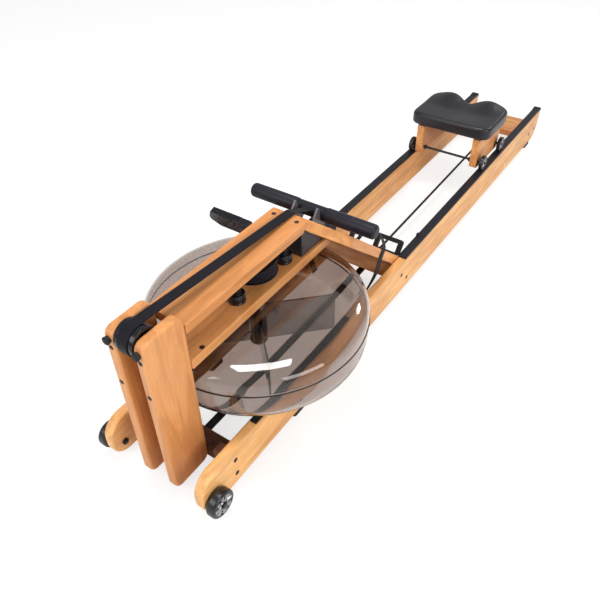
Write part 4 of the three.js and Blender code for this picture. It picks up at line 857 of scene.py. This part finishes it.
for side in ("left", "right"):
    dressed("handle_rest_" + side, "handle_fork_" + side, "frame", rest_grey, soft=0.0012,
            segments=2)

# Monitor: a flat black plastic case with a grey screen that faces the seat, on a block arm at the
# deck's side. The arm's pin is drawn thinner and shorter than the CAD's, hidden inside the case.
case_plastic = moulded("case_plastic", (0.007, 0.007, 0.011), roughness=0.28, shine=0.3)
dressed("monitor_case", "monitor_body", "monitor", case_plastic, soft=0.0024)
bracket = dressed("monitor_arm", "monitor_bracket", "frame", case_plastic, soft=0.0016)

# The pin's points lie round its tip's middle: they are drawn in, and the tip is drawn back.
pin_share, pin_cut, tip_reach, pin_reach = 0.76, 0.0028, 0.0002, 0.0004
arm_points = np.empty(len(bracket.data.vertices) * 3)
bracket.data.vertices.foreach_get("co", arm_points)
arm_points = arm_points.reshape(-1, 3)
on_tip = arm_points[:, 0] < arm_points[:, 0].min() + tip_reach
pin_middle = arm_points[on_tip].mean(0)
from_middle = np.linalg.norm(arm_points[:, 1:] - pin_middle[1:], axis=1)
on_pin = from_middle < from_middle[on_tip].max() + pin_reach
arm_points[on_pin, 1:] = pin_middle[1:] + (arm_points[on_pin, 1:] - pin_middle[1:]) * pin_share
arm_points[on_tip, 0] += pin_cut
bracket.data.vertices.foreach_set("co", arm_points.ravel())

screen_glass = moulded("screen_glass", (0.20, 0.225, 0.20), roughness=0.16, coat=0.6, grain=0.0008,
                       depth=0.00002)
dressed("monitor_screen", "monitor_display", "monitor", screen_glass, soft=0.0003)

# Tank: two shells of smoky clear plastic with a black seal between them, and a collar round the
# shaft. Clear walls 4 mm thick; the colour lies in the plastic.
tank_radius, tank_depth, tank_dome, tank_power = 0.266, 0.114, 0.0625, 4.15
seam, wall, edge_gap = 0.2393, 0.004, 0.0018
inner_radius, tank_centre = tank_radius - wall, (0, float(drum_middle[1]), 0)


def bulge(radius, height, start, end, count=40):
    """A quarter of a squashed ball's section: radius * cos(a) ** (2 / p), height * sin(a) ** (2 / p)."""
    a = np.linspace(start, end, count)
    bent_in, bent_up = (np.clip(wave(a), 0, 1) ** (2 / tank_power) for wave in (np.cos, np.sin))
    return np.c_[radius * bent_in, height * bent_up]


def smoky(name, colour, roughness):
    """Clear smoky plastic: light passes it with that colour; slow ripples in relief, and a haze that
    varies the gloss."""
    material, shader = bare_material(name, Base_Color=(*colour, 1), Transmission_Weight=1.0, IOR=1.49)
    ripple = noise(material, Scale=9.0, Detail=2.0)
    haze = noise(material, Scale=40.0, Detail=5.0)
    gloss = ranged(material, haze, roughness * 0.5, roughness * 1.5)
    return surfaced(material, shader, ripple, 0.12, 0.004, Roughness=gloss)


smoky_plastic = smoky("smoky_plastic", (0.610, 0.540, 0.505), 0.008)
bowl_depth, cover_height, upright = tank_depth - edge_gap, tank_dome - edge_gap, math.pi / 2
bowl = np.r_[bulge(tank_radius, bowl_depth, upright, 0), bulge(inner_radius, bowl_depth - wall, 0, upright)]
bowl[:, 1] = seam - edge_gap - bowl[:, 1]
bowl = turned(bowl, "z", tank_centre, steps=128)
make("tank_bowl", bowl, "frame", smoky_plastic, ["tank_lower_shell"])
collar_top, collar, shaft_hole = 0.3077, 0.032, 0.009
collar_height = collar_top - seam - edge_gap
outer = bulge(tank_radius, cover_height, 0, upright, 60)
inner = bulge(inner_radius, cover_height - wall, upright, 0, 60)
outer, inner = outer[outer[:, 0] > collar], inner[inner[:, 0] > collar]
neck = [[collar, cover_height], [collar, collar_height], [shaft_hole, collar_height],
        [shaft_hole, cover_height - wall]]
cover = np.r_[[[inner_radius, 0]], outer, neck, inner, [[inner_radius, 0]]]
cover = turned(cover + [0, seam + edge_gap], "z", tank_centre, steps=128)
make("tank_cover", cover, "frame", smoky_plastic, ["tank_upper_shell"])
seal_half, seal_flat, seal_proud, seal_lip = 0.0015, 0.0006, tank_radius + 0.0015, tank_radius + 0.0005
seal = [[inner_radius, seam - seal_half], [seal_lip, seam - seal_half], [seal_proud, seam - seal_flat],
        [seal_proud, seam + seal_flat], [seal_lip, seam + seal_half], [inner_radius, seam + seal_half],
        [inner_radius, seam - seal_half]]
seal = turned(seal, "z", tank_centre, steps=128)
make("tank_gasket", seal, "frame", black_rubber, ["tank_seal"])

# Paddle: four flat blades of smoky plastic on a hub, on the steel shaft that carries the drum above
# the tank.
low, high = cad("paddle")
shaft_radius, hub_bore, paddle_hub, blade_lift, blade_height = 0.007, 0.0071, 0.022, 0.016, 0.110
blade_root, blade_reach, blade_half, blade_corner = 0.0215, 0.190, 0.002, 0.012
blade_low = low[2] + blade_lift
blade_high = blade_low + blade_height
paddle_plastic = smoky("paddle_plastic", (0.40, 0.375, 0.37), 0.10)
shaft = [[0, low[2]], [shaft_radius, low[2]], [shaft_radius, high[2]], [0, high[2]]]
make("paddle_shaft", turned(shaft, "z", tank_centre, steps=40), "paddle", bolt_black)
hub = [[hub_bore, blade_low], [paddle_hub, blade_low], [paddle_hub, blade_high], [hub_bore, blade_high]]
parts = [turned(hub, "z", tank_centre, steps=40)]
for quarter in range(4):
    points, faces, runs = block([blade_root, -blade_half, blade_low], [blade_reach, blade_half, blade_high],
                                radii=(0, blade_corner, blade_corner, 0), soft=0.0008, axis="y")
    a = math.pi / 4 + quarter * math.pi / 2
    spun = points @ [[math.cos(a), math.sin(a), 0], [-math.sin(a), math.cos(a), 0], [0, 0, 1]]
    parts.append((spun + tank_centre, faces, runs))
make("paddle_wheel", together(parts), "paddle", paddle_plastic, ["paddle"], even=True)

# Seat pad: foam moulded in a black skin, flat and square in front, with a raised cheek on each
# side at the rear, a dished middle and a notch for the tail bone.
pad_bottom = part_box("seat_pad")[0][2]
pad_place, pad_half = np.array([0.0, 0.5195, 0.0]), np.array([0.143, 0.100])
pad_thickness, pad_hump = 0.044, 0.016
pad_notch, pad_notch_width, pad_corner, pad_rim = 0.026, 0.11, 0.034, 0.011


def pad_outline(turn, inset):
    """A square with round corners (a superellipse), drawn in at the middle of the rear edge by a bell
    curve."""
    reach, deep = pad_half[0] - inset, pad_half[1] - inset
    corner = np.maximum(pad_corner - inset, pad_rim)
    power = 2 + 2 * np.minimum(reach, deep) / corner
    stretch = (np.abs(np.cos(turn)) ** power + np.abs(np.sin(turn)) ** power) ** (-1 / power)
    x, y = reach * np.cos(turn) * stretch, deep * np.sin(turn) * stretch
    notch = pad_notch * np.exp(-(x / (2 * pad_half[0] * pad_notch_width)) ** 2)
    return x, np.where(y > 0, y - notch * y / deep, y)


def pad_crown(x, y):
    """Two bell-shaped cheeks that rise towards the rear, less a round dish in the middle. Places and
    widths are shares of the pad's half width and half length."""
    rise_ahead, rise_length, cheek_place, cheek_width = 0.1, 0.95, 0.5, 0.34
    dish_width, dish_length, dish_share = 0.6, 0.7, 0.35
    t = np.clip((y + rise_ahead * pad_half[1]) / (rise_length * pad_half[1]), 0, 1)
    rise = 3 * t ** 2 - 2 * t ** 3
    cheeks = np.exp(-((np.abs(x) - cheek_place * pad_half[0]) / (cheek_width * pad_half[0])) ** 2)
    dish = np.exp(-(x / (dish_width * pad_half[0])) ** 2 - (y / (dish_length * pad_half[1])) ** 2)
    return pad_hump * (rise * cheeks - dish_share * dish)


pad_steps, edge_steps, top_steps, under_steps, pad_centre = 180, 9, 29, 5, 0.0999
turn = np.linspace(0, 2 * np.pi, pad_steps, endpoint=False)[None]
t = np.linspace(0, np.pi / 2, edge_steps)
lower = np.c_[pad_rim * (1 - np.sin(t)), pad_rim * (1 - np.cos(t)), 0 * t]
upper = np.c_[pad_rim * (1 - np.cos(t)), -pad_rim * (1 - np.sin(t)), 0 * t + 1]
inwards = np.linspace(pad_rim, pad_centre, top_steps + 1)[1:]
outwards = np.linspace(pad_centre, pad_rim, under_steps + 1)[:-1]
above = np.c_[inwards, 0 * inwards, 0 * inwards + 1]
under = np.c_[outwards, 0 * outwards, 0 * outwards]
rings = np.r_[under, lower, upper, above]
x, y = pad_outline(turn, rings[:, :1])
z = pad_bottom + rings[:, 1:2] + rings[:, 2:] * (pad_thickness + pad_crown(x, y)) + 0 * x
pad_points = (np.stack([x, y, z], -1) + pad_place).reshape(-1, 3)

pad_skin, shader = bare_material("pad_skin", Coat_Weight=0.20, Coat_Roughness=0.24, Specular_IOR_Level=0.38)
place = add_node(pad_skin, "ShaderNodeTexCoord").outputs["Object"]
cells = add_node(pad_skin, "ShaderNodeTexVoronoi", place, Scale=620.0).outputs["Distance"]
cloud = noise(pad_skin, Scale=16.0, Detail=5.0)
skin_tone = toned(pad_skin, cloud, (0, (0.006, 0.0055, 0.009)), (1, (0.012, 0.011, 0.017)))
skin_gloss = ranged(pad_skin, cloud, 0.28, 0.42)
surfaced(pad_skin, shader, cells, 0.35, 0.0003, Base_Color=skin_tone, Roughness=skin_gloss)
pad_shape = pad_points, grid(len(rings), pad_steps, True), None
pad = make("seat_cushion", pad_shape, "seat", pad_skin, ["seat_pad"], sharp=60)

# Seat carriage: two upright wooden boards under a black steel plate, with two steel axles in black
# bushes and four wheels that roll on the tracks.
for number, side in enumerate(("left", "right")):
    name = "seat_board_" + side
    seat_wood = wood("seat_wood_" + side, start=(0.15 + 0.4 * number, 0.9, 0.5))
    plank = block(*cad(name), radii=(0.012, 0.012, 0.0025, 0.0025), soft=0.0022)
    make("seat_side_" + side, plank, "seat", seat_wood, [name], even=True)
dressed("seat_plate", "seat_bracket", "seat", black_steel, soft=0.0012)
bush_bore, bush_edge, bush_radius, bush_width, bush_face = 0.0042, 0.0075, 0.0085, 0.003, 0.0845
wheel_sunk = 0.003
for end in ("front", "rear"):
    low, high = cad("seat_axle_" + end)
    middle = (low + high) / 2
    axle_line = (0, middle[1], middle[2])
    axle = turned(rod(0.004, low[0], high[0], bevel=0.0006), "x", axle_line, steps=28)
    make("seat_rod_" + end, axle, "seat", bolt_black, ["seat_axle_" + end])
    rings = []
    for face in (bush_face, bush_width - bush_face):
        back = face - bush_width
        bush = [[bush_bore, back], [bush_edge, back], [bush_radius, back + 0.001], [bush_radius, face],
                [bush_bore, face], [bush_bore, back]]
        rings.append(turned(bush, "x", axle_line, steps=24))
    make("seat_bushes_" + end, together(rings), "seat", black_plastic)
    for side, sign in (("left", -1), ("right", 1)):
        name = f"seat_wheel_{end}_{side}"
        low, high = cad(name)
        middle, half = (low + high) / 2, float(high[0] - low[0]) / 2
        radius = (high[2] - low[2]) / 2
        tyre = rim(radius, -half, half, soft=0.003, bore=0.0044, seat=0.0165, depth=wheel_sunk)
        make(name + "_tyre", turned(tyre, "x", middle), name, tyre_rubber, [name])
        face = spokes(bore=0.0056, outer=0.0160, place=sign * (half - wheel_sunk), out=sign, count=5,
                      depth=0.0024, axis="x", centre=middle, steps=80)
        make(name + "_hub", face, name, hub_grey)

# Bolts: black domed steel heads in shallow seats on the rails, screws in the legs' front edges, and
# dark brown plugs over the screws that hold the decks.


def bolt_head(radius, place, axis, out, proud=0.0014):
    """A domed head in a flat ring: height proud * (1 - 0.8 * (r / radius) ** 2), less a dimple over
    the middle 0.42 of its radius."""
    r = np.linspace(1, 0, 11)
    height = proud * (1 - 0.8 * r ** 2) - np.where(r < 0.42, 0.6 * proud, 0.0)
    ring = [[0, -0.002], [1.25 * radius, -0.002], [1.25 * radius, 0.0003], [1.04 * radius, 0.0003],
            [radius, 0]]
    return turned(np.r_[ring, np.c_[radius * r, height]] * [1, out], axis, place, steps=24)


rail_face, bolt_radius, block_spread = 0.146, 0.0050, 0.025
leg_middle, leg_front, screw_radius, screw_heights = 0.0375, -1.0325, 0.0047, (0.413, 0.318)
block_middle = on_board(board_length, block_top - block_depth / 2)
bolt_places = [(-0.9390, 0.046), (-0.9390, 0.093), block_middle - block_spread * slope,
               block_middle + block_spread * slope, (0.9475, 0.058), (1.0115, 0.058)]
for side, sign in (("left", -1), ("right", 1)):
    heads = [bolt_head(bolt_radius, (sign * rail_face, y, z), "x", sign) for y, z in bolt_places]
    make("rail_bolts_" + side, together(heads), "frame", bolt_black)
    heads = [bolt_head(screw_radius, (sign * leg_middle, leg_front, z), "y", -1) for z in screw_heights]
    make("leg_screws_" + side, together(heads), "frame", bolt_black)
plug_brown = moulded("plug_brown", (0.030, 0.012, 0.006), roughness=0.5)
plug_radius, plug_edge = 0.0058, 0.0048
plug = [[0, -0.002], [plug_radius, -0.002], [plug_radius, 0.0002], [plug_edge, 0.0004], [0, 0.0004]]
right_plugs = (0.032, -0.5309, 0.430), (0.042, -0.8852, 0.333)
plugs = [turned(plug, "z", (sign * x, y, z), steps=24) for x, y, z in right_plugs for sign in (-1, 1)]
make("deck_plugs", together(plugs), "frame", plug_brown)
